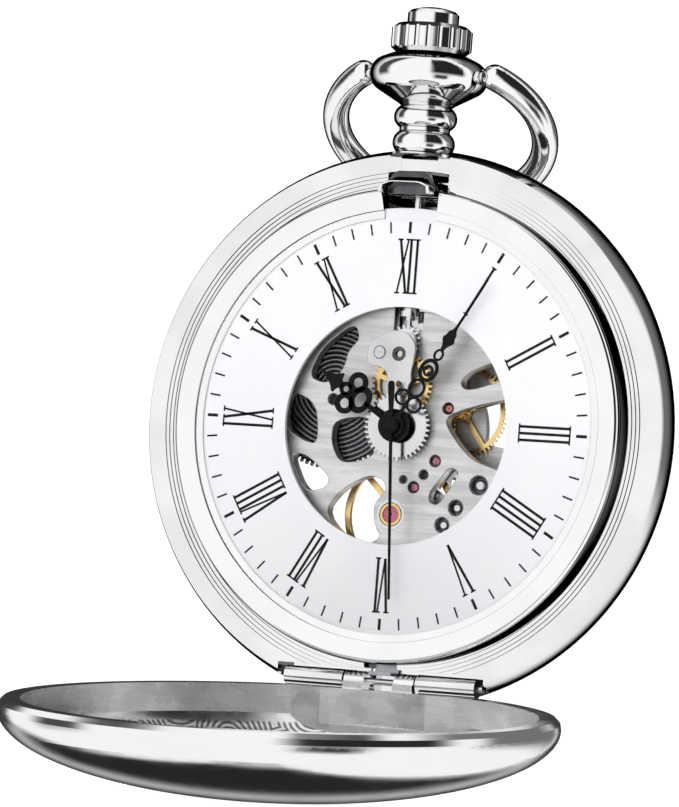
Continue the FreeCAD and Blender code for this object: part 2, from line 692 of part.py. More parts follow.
def centre_wheel():
    front_pinion = facing(MIDDLE, BARREL_AT, BARREL_TOOTH, BARREL_TEETH, 10)
    leaves = pinion(10, BARREL_MODULE, front_pinion, MIDDLE, -4.95, -3.7, 0.36)
    plate = wheel(CENTRE_TEETH, CENTRE_MODULE, CENTRE_TOOTH, MIDDLE, -3.65, -3.42, 0.9, 5, 0.5, 0.35, 0.36)
    sleeve = tube(0.55, 0.36, -7.65, -4.95).fuse(tube(0.6, 0.36, -3.7, -3.65))
    return leaves.fuse(plate).fuse(sleeve)


def third_wheel():
    leaves_at = facing(THIRD_AT, MIDDLE, CENTRE_TOOTH, CENTRE_TEETH, 8)
    leaves = pinion(8, CENTRE_MODULE, leaves_at, THIRD_AT, -3.8, -3.35)
    plate = wheel(THIRD_TEETH, THIRD_MODULE, THIRD_TOOTH, THIRD_AT, -2.95, -2.75, 0.8, 5, 0.45, 0.35)
    arbor = disc(0.22, -4.9, -2.65, THIRD_AT).fuse(disc(0.12, -5.6, -1.95, THIRD_AT))
    return leaves.fuse(plate).fuse(arbor)


def fourth_wheel():
    leaves_at = facing(MIDDLE, THIRD_AT, THIRD_TOOTH, THIRD_TEETH, 8)
    leaves = pinion(8, THIRD_MODULE, leaves_at, MIDDLE, -3.05, -2.65)
    plate = wheel(FOURTH_TEETH, FOURTH_MODULE, FOURTH_TOOTH, MIDDLE, -3.3, -3.1, 0.8, 5, 0.45, 0.35)
    arbor = disc(0.17, -8.3, -2.0).fuse(disc(0.3, -3.38, -2.62))
    return leaves.fuse(plate).fuse(arbor)


def escape_wheel():
    leaves_at = facing(ESCAPE_AT, MIDDLE, FOURTH_TOOTH, FOURTH_TEETH, 6)
    leaves = pinion(6, FOURTH_MODULE, leaves_at, ESCAPE_AT, -3.36, -2.95)
    points = []
    for index in range(15):
        clock = index * 24
        for offset, radius in ((0, 1.75), (10.5, 2.3), (12.0, 2.3), (11.0, 1.85), (13.0, 1.7),
                               (21.0, 1.68)):
            points.append(spot(radius, clock + offset, ESCAPE_AT))
    outlines = [points] + spoke_windows(0.55, 1.45, 4, 0.3, -4.85, ESCAPE_AT)
    plate = flat(outlines, -4.85, -4.65)
    hub = disc(0.6, -4.75, -4.4, ESCAPE_AT)
    arbor = disc(0.11, -5.6, -1.95, ESCAPE_AT)
    return leaves.fuse(plate).fuse(hub).fuse(arbor)


def pallet_fork():
    """Anchor with two stones, and the lever that reaches towards the balance."""
    to_balance = clock_of(PALLET_AT, BALANCE_AT)
    to_escape = clock_of(PALLET_AT, ESCAPE_AT)
    lever = [spot(0.22, to_balance + 90, PALLET_AT), spot(1.55, to_balance + 5, PALLET_AT),
             spot(1.95, to_balance + 9, PALLET_AT), spot(1.9, to_balance + 4, PALLET_AT),
             spot(1.6, to_balance, PALLET_AT),
             spot(1.9, to_balance - 4, PALLET_AT), spot(1.95, to_balance - 9, PALLET_AT),
             spot(1.55, to_balance - 5, PALLET_AT), spot(0.22, to_balance - 90, PALLET_AT)]
    anchor = [spot(0.3, to_escape + 180, PALLET_AT), spot(0.55, to_escape + 110, PALLET_AT),
              spot(1.75, to_escape + 76, PALLET_AT), spot(1.85, to_escape + 66, PALLET_AT),
              spot(0.4, to_escape + 25, PALLET_AT), spot(0.4, to_escape - 25, PALLET_AT),
              spot(1.85, to_escape - 66, PALLET_AT), spot(1.75, to_escape - 76, PALLET_AT),
              spot(0.55, to_escape - 110, PALLET_AT)]
    body = flat([lever], -4.8, -4.62).fuse(flat([anchor], -4.8, -4.62))
    return body.fuse(disc(0.12, -5.6, -4.32, PALLET_AT)).fuse(disc(0.28, -4.9, -4.6, PALLET_AT))


def balance_wheel():
    rim = tube(5.0, 4.5, -4.15, -3.75, BALANCE_AT)
    hub = tube(0.6, 0.22, -4.15, -3.75, BALANCE_AT)
    body = rim.fuse(hub)
    for clock in (75, 195, 315):
        arm = box(-0.24, 0.24, -4.1, -3.85, 0.4, 4.7)
        arm.rotate(V(0, 0, 0), Y_DIRECTION, clock)
        arm.translate(V(BALANCE_AT[0], 0, BALANCE_AT[1]))
        body = body.fuse(arm.common(disc(4.6, -4.2, -3.7, BALANCE_AT)))
    return body.cut(disc(0.22, -5, -3, BALANCE_AT))


def balance_staff():
    staff = disc(0.22, -4.9, -3.2, BALANCE_AT).fuse(disc(0.1, -5.75, -2.35, BALANCE_AT))
    roller = tube(0.8, 0.2, -4.82, -4.66, BALANCE_AT)
    collet = tube(0.5, 0.2, -3.7, -3.35, BALANCE_AT)
    return staff.fuse(roller).fuse(collet)


def hairspring():
    """Flat spiral from the collet to the stud."""
    turns = 9
    steps = 24 * turns
    outer = []
    inner = []
    for k in range(steps + 1):
        clock = 360 * k / 24
        radius = 0.62 + 1.95 * k / steps
        outer.append(spot(radius + 0.035, clock, BALANCE_AT))
        inner.append(spot(radius - 0.035, clock, BALANCE_AT))
    return flat([outer + inner[::-1]], -3.6, -3.45)


# ---- motion work, hands -------------------------------------------------------------------------
MOTION_MODULE = 0.1458
HOUR_MODULE = 0.14
MINUTE_TOOTH = 0.0
MINUTE_PINION_TOOTH = 0.0


def cannon_pinion():
    leaves_at = facing(MIDDLE, MINUTE_AT, MINUTE_TOOTH, 36, 12)
    leaves = pinion(12, MOTION_MODULE, leaves_at, MIDDLE, -6.72, -6.3, 0.58)
    return leaves.fuse(tube(0.72, 0.58, -8.12, -6.3))


def hour_wheel():
    leaves_at = facing(MIDDLE, MINUTE_AT, MINUTE_PINION_TOOTH, 10, 40)
    plate = wheel(40, HOUR_MODULE, leaves_at, MIDDLE, -7.05, -6.85, 1.0, 0, 0, 0, 0.76)
    return plate.fuse(tube(0.98, 0.76, -7.85, -6.85))


def minute_wheel():
    plate = wheel(36, MOTION_MODULE, MINUTE_TOOTH, MINUTE_AT, -6.7, -6.5, 0.8, 5, 0.4, 0.4, 0.26)
    leaves = pinion(10, HOUR_MODULE, MINUTE_PINION_TOOTH, MINUTE_AT, -7.08, -6.7, 0.26)
    return plate.fuse(leaves)


def setting_wheel():
    tooth = facing(SETTING_AT, MINUTE_AT, MINUTE_TOOTH, 36, 16)
    return wheel(16, MOTION_MODULE, tooth, SETTING_AT, -6.7, -6.5, 0.5, 0, 0, 0, 0.26)


def setting_bridge():
    """Plate over the setting and minute wheels."""
    body = flat([[(-2.9, 4.6), (-2.9, 6.5), (-2.0, 7.0), (-1.0, 8.05), (1.0, 8.05), (1.3, 6.8),
                  (1.1, 5.4), (1.5, 4.9),
                  (1.3, 4.75), (-1.3, 4.75), (-1.9, 4.4)]], -7.08, -6.85)
    body = body.fuse(disc(0.42, -6.85, PLATE_FRONT, SETTING_SCREW_AT))
    body = body.cut(disc(0.38, -7.2, -6.96, SETTING_SCREW_AT))
    return body.cut(disc(0.2, -7.2, -6.1, SETTING_SCREW_AT))


def hand_plate(parts, clock):
    """Fuse flat pieces drawn pointing to 12 and turn them to a clock angle."""
    body = parts[0]
    for part in parts[1:]:
        body = body.fuse(part)
    body = body.removeSplitter()
    body.rotate(V(0, 0, 0), Y_DIRECTION, clock)
    return body


def loop(radius, bore, z, front, back, x=0.0):
    return tube(radius, bore, front, back, (x, z))


def hour_hand():
    front = -7.85
    back = -7.7
    parts = [tube(1.35, 0.99, front, back)]
    parts.append(flat([[(-0.16, 1.2), (0.16, 1.2), (0.13, 3.4), (-0.13, 3.4)]], front, back))
    parts.append(loop(0.7, 0.42, 3.9, front, back))
    for side in (-1, 1):
        parts.append(loop(0.62, 0.34, 4.75, front, back, side * 0.72))
    parts.append(flat([[(-0.16, 4.3), (0.16, 4.3), (0.2, 5.5), (0.85, 6.0), (0.3, 6.5), (0.09, 7.2),
                        (0.0, 8.3),
                        (-0.09, 7.2), (-0.3, 6.5), (-0.85, 6.0), (-0.2, 5.5)]], front, back))
    return hand_plate(parts, HOUR_AT)


def minute_hand():
    front = -8.15
    back = -8.0
    parts = [tube(1.0, 0.73, front, back)]
    parts.append(flat([[(-0.14, 0.8), (0.14, 0.8), (0.12, 2.2), (-0.12, 2.2)]], front, back))
    parts.append(loop(0.62, 0.36, 2.6, front, back))
    parts.append(loop(0.7, 0.42, 3.8, front, back))
    parts.append(flat([[(-0.1, 4.3), (0.1, 4.3), (0.5, 5.6), (0.5, 6.1), (0.1, 7.2), (-0.1, 7.2),
                        (-0.5, 6.1),
                        (-0.5, 5.6)], [(0.0, 4.9), (0.28, 5.7), (0.28, 6.05), (0.0, 6.8), (-0.28, 6.05),
                        (-0.28, 5.7)]], front, back))
    parts.append(flat([[(-0.12, 7.1), (0.12, 7.1), (0.2, 8.3), (0.6, 8.9), (0.2, 9.4), (0.07, 10.2),
                        (0.045, 13.2),
                        (-0.045, 13.2), (-0.07, 10.2), (-0.2, 9.4), (-0.6, 8.9), (-0.2, 8.3)]],
                      front, back))
    return hand_plate(parts, MINUTE_HAND_AT)


def second_hand():
    front = -8.45
    back = -8.3
    ring = disc(0.65, front, back)
    needle = flat([[(-0.22, -3.1), (0.22, -3.1), (0.12, -0.5), (0.09, 0.5), (0.04, 13.1), (-0.04, 13.1),
                    (-0.09, 0.5), (-0.12, -0.5)]], front, back)
    return hand_plate([ring, needle], SECOND_AT)


# ---- winding work -------------------------------------------------------------------------------
RATCHET_TEETH = 54
CROWN_TEETH = 32
WINDING_MODULE = 2 * math.dist(BARREL_AT, CROWN_WHEEL_AT) / (RATCHET_TEETH + CROWN_TEETH)
RATCHET_TOOTH = 0.0
WINDING_FRONT = -1.72
WINDING_BACK = -1.4


def ratchet_wheel():
    plate = wheel(RATCHET_TEETH, WINDING_MODULE, RATCHET_TOOTH, BARREL_AT, WINDING_FRONT, WINDING_BACK,
                  1, 0, 0, 0)
    x, z = BARREL_AT
    square = box(x - 0.47, x + 0.47, -1.8, -1.3, z - 0.47, z + 0.47)
    return plate.cut(square)


def crown_wheel():
    tooth = facing(CROWN_WHEEL_AT, BARREL_AT, RATCHET_TOOTH, RATCHET_TEETH, CROWN_TEETH)
    plate = wheel(CROWN_TEETH, WINDING_MODULE, tooth, CROWN_WHEEL_AT, WINDING_FRONT, WINDING_BACK,
                  1, 0, 0, 0, 0.5)
    sleeve = tube(1.15, 0.5, -4.6, WINDING_FRONT, CROWN_WHEEL_AT)
    ring = tube(2.0, 0.5, -4.75, -4.55, CROWN_WHEEL_AT)
    body = plate.fuse(sleeve).fuse(ring)
    for index in range(20):
        tooth_bar = box(-0.1, 0.1, -4.93, -4.7, 1.5, 2.0)
        tooth_bar.rotate(V(0, 0, 0), Y_DIRECTION, index * 18)
        tooth_bar.translate(V(CROWN_WHEEL_AT[0], 0, CROWN_WHEEL_AT[1]))
        body = body.fuse(tooth_bar.common(disc(2.0, -5, -4, CROWN_WHEEL_AT)))
    return body


def click():
    """Pawl lying in a gap of the ratchet wheel."""
    towards = clock_of(CLICK_AT, BARREL_AT)
    tip = math.dist(CLICK_AT, BARREL_AT) - RATCHET_TEETH * WINDING_MODULE / 2 - 0.32
    body = flat([[spot(0.75, towards + 120, CLICK_AT), spot(0.75, towards + 60, CLICK_AT),
                  spot(tip, towards + 2, CLICK_AT), spot(tip, towards - 2, CLICK_AT),
                  spot(0.75, towards - 60, CLICK_AT), spot(0.75, towards - 120, CLICK_AT),
                  spot(0.75, towards + 180, CLICK_AT)]], WINDING_FRONT, WINDING_BACK)
    return body.cut(disc(0.36, -2, -1, CLICK_AT))


def click_spring():
    points = arc_points(17.0, 301, 326, 10) + arc_points(16.75, 326, 301, 10)
    return flat([points], WINDING_FRONT, WINDING_BACK)


def gear_z(radius, root, teeth, low, high, bore):
    """Toothed sleeve along the stem."""
    points = []
    for index in range(teeth):
        start = index * 360 / teeth
        for share, size in ((0.0, root), (0.28, root), (0.38, radius), (0.72, radius), (0.82, root)):
            turn = math.radians(start + share * 360 / teeth)
            points.append(V(size * math.sin(turn), PENDANT_Y + size * math.cos(turn), low))
    body = Part.Face(Part.makePolygon(points + points[:1])).extrude(V(0, 0, high - low))
    return body.cut(bar_z(bore, low - 0.1, high + 0.1))


def winding_pinion():
    return gear_z(1.0, 0.72, 12, 10.5, 12.0, STEM_R + 0.05)


def clutch_wheel():
    body = bar_z(0.95, 9.25, 10.45).cut(tube_z(1.1, 0.75, 9.7, 10.05))
    body = body.cut(bar_z(STEM_R + 0.05, 9, 11))
    for index in range(8):
        notch = box(-0.12, 0.12, PENDANT_Y + 0.6, PENDANT_Y + 1.1, 10.25, 10.5)
        notch.rotate(V(0, PENDANT_Y, 0), V(0, 0, 1), index * 45)
        body = body.cut(notch)
    return body


def setting_lever():
    body = flat([[(2.2, 11.0), (3.4, 10.8), (4.1, 12.4), (3.6, 14.2), (1.4, 14.9), (1.2, 14.3),
                  (2.7, 13.4)]],
                -6.6, -6.25)
    return body.cut(disc(0.4, -7, -6, (3.2, 12.2)))


def yoke():
    """Fork lever that carries the clutch."""
    body = flat([[(1.05, 9.75), (1.05, 10.0), (5.2, 10.4), (6.4, 9.4), (5.6, 8.8),
                  (4.6, 9.6)]], -6.6, -6.25)
    return body.cut(disc(0.3, -7, -6, (5.6, 9.5)))


# ---- jewels and screws --------------------------------------------------------------------------
def jewels():
    stones = []
    for at, bore in ((THIRD_AT, 0.14), (ESCAPE_AT, 0.13), (PALLET_AT, 0.14)):
        stones.append(tube(0.28, bore, -5.9, -5.4, at))
    stones.append(tube(0.72, 0.13, -6.05, -5.4, BALANCE_AT))
    for at, bore in ((MIDDLE, 0.19), (THIRD_AT, 0.14), (ESCAPE_AT, 0.13)):
        stones.append(tube(0.4, bore, -2.45, -1.95, at))
    stones.append(tube(0.4, 0.12, -2.9, -2.3, BALANCE_AT))
    return group(stones)


def bridge_screws():
    screws = []
    for at in BARREL_PILLARS + TRAIN_PILLARS:
        head = disc(0.62, BRIDGE_BACK, -1.35, at)
        shank = disc(0.3, -4.6, BRIDGE_BACK, at)
        slot = box(at[0] - 0.7, at[0] + 0.7, -1.47, -1.2, at[1] - 0.08, at[1] + 0.08)
        screws.append(head.fuse(shank).cut(slot))
    cock_head = disc(0.62, -2.2, -1.8, (-0.3, -15.2)).fuse(disc(0.3, -4.6, -2.2, (-0.3, -15.2)))
    screws.append(cock_head.cut(box(-1.1, 0.5, -1.92, -1.7, -15.28, -15.12)))
    return group(screws)


def wheel_screws():
    """Screws of the crown wheel and the click."""
    screws = []
    for at, head_r, shank_r, deep in ((CROWN_WHEEL_AT, 0.95, 0.42, -4.5), (CLICK_AT, 0.55, 0.3, -2.5)):
        head = disc(head_r, -1.38, -1.22, at).fuse(disc(shank_r, deep, -1.38, at))
        screws.append(head.cut(box(at[0] - 1.0, at[0] + 1.0, -1.29, -1.1, at[1] - 0.09, at[1] + 0.09)))
    return group(screws)


def ratchet_screw():
    x, z = BARREL_AT
    head = disc(0.95, WINDING_BACK, -1.22, BARREL_AT)
    return head.cut(box(x - 1.0, x + 1.0, -1.29, -1.1, z - 0.09, z + 0.09))


def setting_screw():
    """Screw that holds the setting bridge on the dial side."""
    head = disc(0.36, -7.07, -6.97, SETTING_SCREW_AT)
    x, z = SETTING_SCREW_AT
    slot = box(x - 0.5, x + 0.5, -7.1, -7.02, z - 0.05, z + 0.05)
    return head.fuse(disc(0.18, -6.97, -5.5, SETTING_SCREW_AT)).cut(slot)


NODES = {
    "case_body": case_body,
    "front_bezel": front_bezel,
    "front_crystal": front_crystal,
    "back_bezel": back_bezel,
    "back_crystal": lambda: disc(16.85, -1.15, -0.3),
    "movement_ring": movement_ring,
    "hinge_pin": hinge_pin,
    "lift_spring": lift_spring,
    "catch": catch,
    "catch_spring": catch_spring,
    "cover_rim": cover_rim,
    "cover_dome": cover_dome,
    "pendant": pendant,
    "bow": bow,
    "crown": crown,
    "push_button": push_button,
    "winding_stem": winding_stem,
    "stem_sleeve": stem_sleeve,
    "dial": dial,
    "main_plate": main_plate,
    "barrel_bridge": barrel_bridge,
    "train_bridge": train_bridge,
    "balance_cock": balance_cock,
    "regulator": regulator,
    "pallet_bridge": pallet_bridge,
    "barrel": barrel,
    "barrel_cover": barrel_cover,
    "mainspring": mainspring,
    "barrel_arbor": barrel_arbor,
    "centre_wheel": centre_wheel,
    "third_wheel": third_wheel,
    "fourth_wheel": fourth_wheel,
    "escape_wheel": escape_wheel,
    "pallet_fork": pallet_fork,
    "balance_wheel": balance_wheel,
    "balance_staff": balance_staff,
    "hairspring": hairspring,
    "cannon_pinion": cannon_pinion,
    "hour_wheel": hour_wheel,
    "minute_wheel": minute_wheel,
    "setting_wheel": setting_wheel,
    "setting_bridge": setting_bridge,
    "hour_hand": hour_hand,
    "minute_hand": minute_hand,
    "second_hand": second_hand,
    "ratchet_wheel": ratchet_wheel,
    "crown_wheel": crown_wheel,
    "click": click,
    "click_spring": click_spring,
    "winding_pinion": winding_pinion,
    "clutch_wheel": clutch_wheel,
    "setting_lever": setting_lever,
    "yoke": yoke,
    "jewels": jewels,
    "bridge_screws": bridge_screws,
    "wheel_screws": wheel_screws,
    "setting_screw": setting_screw,
    "ratchet_screw": ratchet_screw,
}

for name, make in NODES.items():
    save(name, make())
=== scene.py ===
import bpy
import bmesh
import math
from mathutils import Matrix, Vector


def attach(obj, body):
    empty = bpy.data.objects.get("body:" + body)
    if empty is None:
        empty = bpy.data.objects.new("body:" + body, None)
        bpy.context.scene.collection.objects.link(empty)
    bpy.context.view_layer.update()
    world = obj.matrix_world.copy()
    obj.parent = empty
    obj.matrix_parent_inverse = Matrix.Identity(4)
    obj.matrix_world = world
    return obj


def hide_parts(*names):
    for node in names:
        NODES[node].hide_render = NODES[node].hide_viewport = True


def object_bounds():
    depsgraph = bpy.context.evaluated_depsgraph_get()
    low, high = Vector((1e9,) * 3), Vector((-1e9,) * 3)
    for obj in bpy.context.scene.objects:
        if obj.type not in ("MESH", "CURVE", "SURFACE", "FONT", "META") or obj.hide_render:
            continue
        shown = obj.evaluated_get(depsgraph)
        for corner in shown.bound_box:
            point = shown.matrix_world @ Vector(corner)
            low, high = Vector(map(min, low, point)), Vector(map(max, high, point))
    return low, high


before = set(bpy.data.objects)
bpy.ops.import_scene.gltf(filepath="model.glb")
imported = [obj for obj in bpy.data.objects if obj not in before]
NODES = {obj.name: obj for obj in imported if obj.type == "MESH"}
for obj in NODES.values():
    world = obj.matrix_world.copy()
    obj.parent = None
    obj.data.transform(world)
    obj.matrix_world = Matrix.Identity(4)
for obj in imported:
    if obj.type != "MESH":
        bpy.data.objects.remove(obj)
CAD_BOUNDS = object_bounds()
MM = 0.001

DIAL_FRONT = -7.5        # all lengths in this script are millimetres unless a name says otherwise
PENDANT_Y = -6.0
HOUR_CLOCK = 302.0       # degrees from 12 at which each hand points at rest
MINUTE_CLOCK = 31.2
SECOND_CLOCK = 176.0
DEGREES = 57.29578       # degrees in a radian, for the sky's angles
BARREL_AT = (-6.9, 3.05)                         # x, z of each axis
THIRD_AT = (4.14, 1.76)
ESCAPE_AT = (3.34, -2.69)
PALLET_AT = (1.57, -5.0)
BALANCE_AT = (-0.3, -7.4)
MINUTE_AT = (0.0, 3.5)
PLATE_FRONT, PLATE_BACK = -6.2, -5.0
SETTING_JEWEL_AT = (-0.2, 6.05)
SETTING_HEAD_AT = (-1.95, 6.1)


# ---- camera, light and stage ----------------------------------------------------------------------
def place_camera():
    """Long lens, slightly right of the dial and slightly below it, with a small roll."""
    turn, tilt, roll = math.radians(22.775), math.radians(-2.864), math.radians(4.509)
    back = Vector((math.sin(turn) * math.cos(tilt), -math.cos(turn) * math.cos(tilt), math.sin(tilt)))
    right = Vector((math.cos(turn), math.sin(turn), 0))
    up = right.cross(-back)
    across = right * math.cos(roll) + up * math.sin(roll)
    above = up * math.cos(roll) - right * math.sin(roll)
    place = Vector((0, DIAL_FRONT, 0)) + back * 499.46 - across * 4.628 + above * 1.851
    data = bpy.data.cameras.new("camera")
    data.lens = 266.30
    data.sensor_width = 36.0
    data.clip_start = 0.01
    data.clip_end = 20.0
    camera = bpy.data.objects.new("camera", data)
    camera.matrix_world = Matrix((
        (across.x, above.x, back.x, place.x * MM),
        (across.y, above.y, back.y, place.y * MM),
        (across.z, above.z, back.z, place.z * MM),
        (0, 0, 0, 1)))
    bpy.context.scene.collection.objects.link(camera)
    bpy.context.scene.camera = camera


class Nodes:
    """Short ways of adding shader nodes to one tree."""

    def __init__(self, tree):
        self.tree = tree
        self.tree.nodes.clear()

    def add(self, kind, values=None, **settings):
        node = self.tree.nodes.new(kind)
        for key, value in settings.items():
            setattr(node, key, value)
        for key, value in (values or {}).items():
            if isinstance(value, bpy.types.NodeSocket):
                self.tree.links.new(value, node.inputs[key])
            else:
                node.inputs[key].default_value = value
        return node

    def math(self, operation, first, second=0.0, third=0.0):
        return self.add("ShaderNodeMath", {0: first, 1: second, 2: third}, operation=operation).outputs[0]

    def ramp(self, value, low, high, start=0.0, end=1.0, smooth=True):
        kind = "SMOOTHSTEP" if smooth else "LINEAR"
        values = {"Value": value, "From Min": low, "From Max": high, "To Min": start, "To Max": end}
        return self.add("ShaderNodeMapRange", values, interpolation_type=kind).outputs["Result"]

    def band(self, value, low, high, soft):
        """1 between low and high, with soft edges."""
        rise = self.ramp(value, low - soft, low + soft)
        fall = self.ramp(value, high - soft, high + soft, 1.0, 0.0)
        return self.math("MULTIPLY", rise, fall)

    def mix(self, share, first, second):
        node = self.add("ShaderNodeMix", data_type="RGBA")
        for name, value in (("Factor", share), ("A", first), ("B", second)):
            socket = [s for s in node.inputs if s.name == name and s.type in ("VALUE", "RGBA")]
            socket = socket[0] if name == "Factor" else [s for s in socket if s.type == "RGBA"][0]
            if isinstance(value, bpy.types.NodeSocket):
                self.tree.links.new(value, socket)
            else:
                socket.default_value = value
        return [s for s in node.outputs if s.type == "RGBA"][0]


# black flags and grey sides of the studio: azimuth range, elevation range, softness, depth
FLAGS = (
    (26, 96, -8, 80, 8, 0.98),
    (32, 62, -40, -14, 7, 0.95),
    (-94, -64, -12, 70, 7, 0.93),
    (-179, -122, -14, 78, 4, 0.96),
    (116, 179, -12, 62, 7, 0.82),
    (-179, -118, -80, -17, 8, 0.98),
)


def build_world():
    """White studio all round, with dark flags that give the polished metal its dark lines."""
    world = bpy.data.worlds.new("studio")
    world.use_nodes = True
    bpy.context.scene.world = world
    n = Nodes(world.node_tree)
    where = n.add("ShaderNodeTexCoord").outputs["Generated"]
    parts = n.add("ShaderNodeSeparateXYZ", {0: where}).outputs
    forward = n.math("MULTIPLY", parts["Y"], -1.0)
    azimuth = n.math("MULTIPLY", n.math("ARCTAN2", parts["X"], forward), DEGREES)
    elevation = n.math("MULTIPLY", n.math("ARCSINE", parts["Z"]), DEGREES)
    light = 1.0
    for west, east, low, high, soft, depth in FLAGS:
        across = n.band(azimuth, west, east, soft)
        along = n.band(elevation, low, high, soft * 1.5)
        shade = n.math("MULTIPLY", n.math("MULTIPLY", across, along), depth)
        light = n.math("MULTIPLY", n.math("SUBTRACT", 1.0, shade), light)
    grey = n.add("ShaderNodeCombineColor", {0: light, 1: light, 2: light}).outputs[0]
    path = n.add("ShaderNodeLightPath").outputs
    power = n.ramp(path["Is Diffuse Ray"], 0.0, 1.0, 1.02, 1.52, smooth=False)
    studio = n.add("ShaderNodeBackground", {"Color": grey, "Strength": power})
    paper = n.add("ShaderNodeBackground", {"Color": (1, 1, 1, 1), "Strength": 1.2})
    seen = path["Is Camera Ray"]
    both = n.add("ShaderNodeMixShader", {0: seen, 1: studio.outputs[0], 2: paper.outputs[0]})
    n.add("ShaderNodeOutputWorld", {0: both.outputs[0]})
    scene = bpy.context.scene
    scene.view_settings.view_transform = "Standard"
    scene.view_settings.look = "None"


def build_stage():
    """Pale floor just under the watch and two large soft lamps."""
    low = CAD_BOUNDS[0][2] - 0.00002
    mesh = bpy.data.meshes.new("floor")
    mesh.from_pydata([(-6, -6, low), (6, -6, low), (6, 6, low), (-6, 6, low)], [], [(0, 1, 2, 3)])
    floor = bpy.data.objects.new("floor", mesh)
    bpy.context.scene.collection.objects.link(floor)
    paint = bpy.data.materials.new("floor_paper")
    paint.use_nodes = True
    n = Nodes(paint.node_tree)
    where = n.add("ShaderNodeTexCoord").outputs["Object"]
    grain = n.add("ShaderNodeTexNoise", {"Vector": where, "Scale": 12.0}).outputs[0]
    tone = n.mix(grain, (0.93, 0.93, 0.94, 1), (0.97, 0.97, 0.97, 1))
    surface = n.add("ShaderNodeBsdfPrincipled", {"Base Color": tone, "Roughness": 0.9,
                                                 "Emission Color": (1, 1, 1, 1), "Emission Strength": 0.6})
    n.add("ShaderNodeOutputMaterial", {0: surface.outputs[0]})
    mesh.materials.append(paint)
    floor.visible_glossy = False
    lamps = (("key", (-0.5, -0.7, 0.7), 0.7, 0.9), ("fill", (0.7, -0.5, 0.4), 0.6, 0.35))
    for name, place, size, power in lamps:
        data = bpy.data.lights.new(name, "AREA")
        data.size = size
        data.energy = power
        lamp = bpy.data.objects.new(name, data)
        lamp.location = place
        lamp.rotation_euler = Vector(place).to_track_quat("Z", "Y").to_euler()
        lamp.visible_glossy = False
        bpy.context.scene.collection.objects.link(lamp)


# ---- materials --------------------------------------------------------------------------------------
def start_material(name):
    material = bpy.data.materials.new(name)
    material.use_nodes = True
    return material, Nodes(material.node_tree)


def stretched(n, scale):
    where = n.add("ShaderNodeTexCoord").outputs["Object"]
    return n.add("ShaderNodeMapping", {"Vector": where, "Scale": scale}).outputs[0]


def noise(n, scale, detail=3.0):
    """Noise that can be stretched; scale is the number of features to a metre along x, y and z."""
    values = {"Vector": stretched(n, scale), "Scale": 1.0, "Detail": detail}
    return n.add("ShaderNodeTexNoise", values).outputs[0]


def metal(name, light, dark, rough, worn, grain, grain_depth, edge=0.0):
    """Metal with cloudy colour, worn patches and a directional grain; edge sets the strength of a painted dark
    reflection on faces seen at a grazing angle, along the outline.
    """
    material, n = start_material(name)
    cloud = noise(n, (180, 180, 180))
    tone = n.mix(n.ramp(cloud, 0.35, 0.65), dark + (1,), light + (1,))
    if edge:
        # painted reflection: faces seen at a grazing angle turn near black, standing in for dark studio
        # reflected along the outline
        facing = n.add("ShaderNodeLayerWeight", {"Blend": 0.5}).outputs["Facing"]
        painted_outline_reflection = n.ramp(facing, 0.44, 0.72, 0.0, edge)
        tone = n.mix(painted_outline_reflection, tone, (0.02, 0.02, 0.022, 1))
    wear = n.ramp(noise(n, (420, 420, 420), 5.0), 0.4, 0.75, rough, worn)
    lines = noise(n, grain, 2.0)
    bump = n.add("ShaderNodeBump", {"Height": lines, "Strength": 1.0, "Distance": grain_depth * MM})
    surface = n.add("ShaderNodeBsdfPrincipled", {"Base Color": tone, "Metallic": 1.0, "Roughness": wear,
                                                 "Normal": bump.outputs[0]})
    if edge:
        # low specular tint dims the mirror at grazing angles too, part of the painted dark outline
        surface.inputs["Specular Tint"].default_value = (0.1, 0.1, 0.1, 1)
    n.add("ShaderNodeOutputMaterial", {0: surface.outputs[0]})
    return material


def painted_recess_shade(n, tone, reach=0.45):
    """Painted shade: tone that falls to near black beside a wall or under another piece, where ambient
    occlusion finds little open sky.
    """
    open_sky = n.add("ShaderNodeAmbientOcclusion", {"Distance": reach * MM}, samples=4).outputs["AO"]
    return n.mix(n.ramp(open_sky, 0.25, 0.85), (0.03, 0.03, 0.032, 1), tone)


def barrel_metal():
    """Barrel with turned rings round its own axis; its near-black tone is painted shade, the rings its own
    pattern.
    """
    material, n = start_material("turned_barrel_steel")
    parts = n.add("ShaderNodeSeparateXYZ", {0: n.add("ShaderNodeTexCoord").outputs["Object"]}).outputs
    across = n.math("SUBTRACT", parts["X"], BARREL_AT[0] * MM)
    above = n.math("SUBTRACT", parts["Z"], BARREL_AT[1] * MM)
    squares = n.math("ADD", n.math("MULTIPLY", across, across), n.math("MULTIPLY", above, above))
    reach = n.math("MULTIPLY", n.math("SQRT", squares), 1000.0)
    rings = n.math("SINE", n.math("ADD", n.math("MULTIPLY", reach, 16.0),
                                  n.math("MULTIPLY", noise(n, (400, 400, 400)), 2.5)))
    # near-black tone is painted shade; the turned rings, the barrel's own pattern, vary it between 0.02 and
    # 0.22
    tone = n.mix(n.ramp(rings, 0.1, 0.8), (0.02, 0.02, 0.022, 1), (0.22, 0.22, 0.23, 1))
    rough = n.ramp(noise(n, (500, 500, 500)), 0.3, 0.7, 0.10, 0.24)
    bump = n.add("ShaderNodeBump", {"Height": rings, "Strength": 1.0, "Distance": 0.02 * MM})
    surface = n.add("ShaderNodeBsdfPrincipled", {"Base Color": tone, "Metallic": 1.0, "Roughness": rough,
                                                 "Normal": bump.outputs[0]})
    n.add("ShaderNodeOutputMaterial", {0: surface.outputs[0]})
    return material


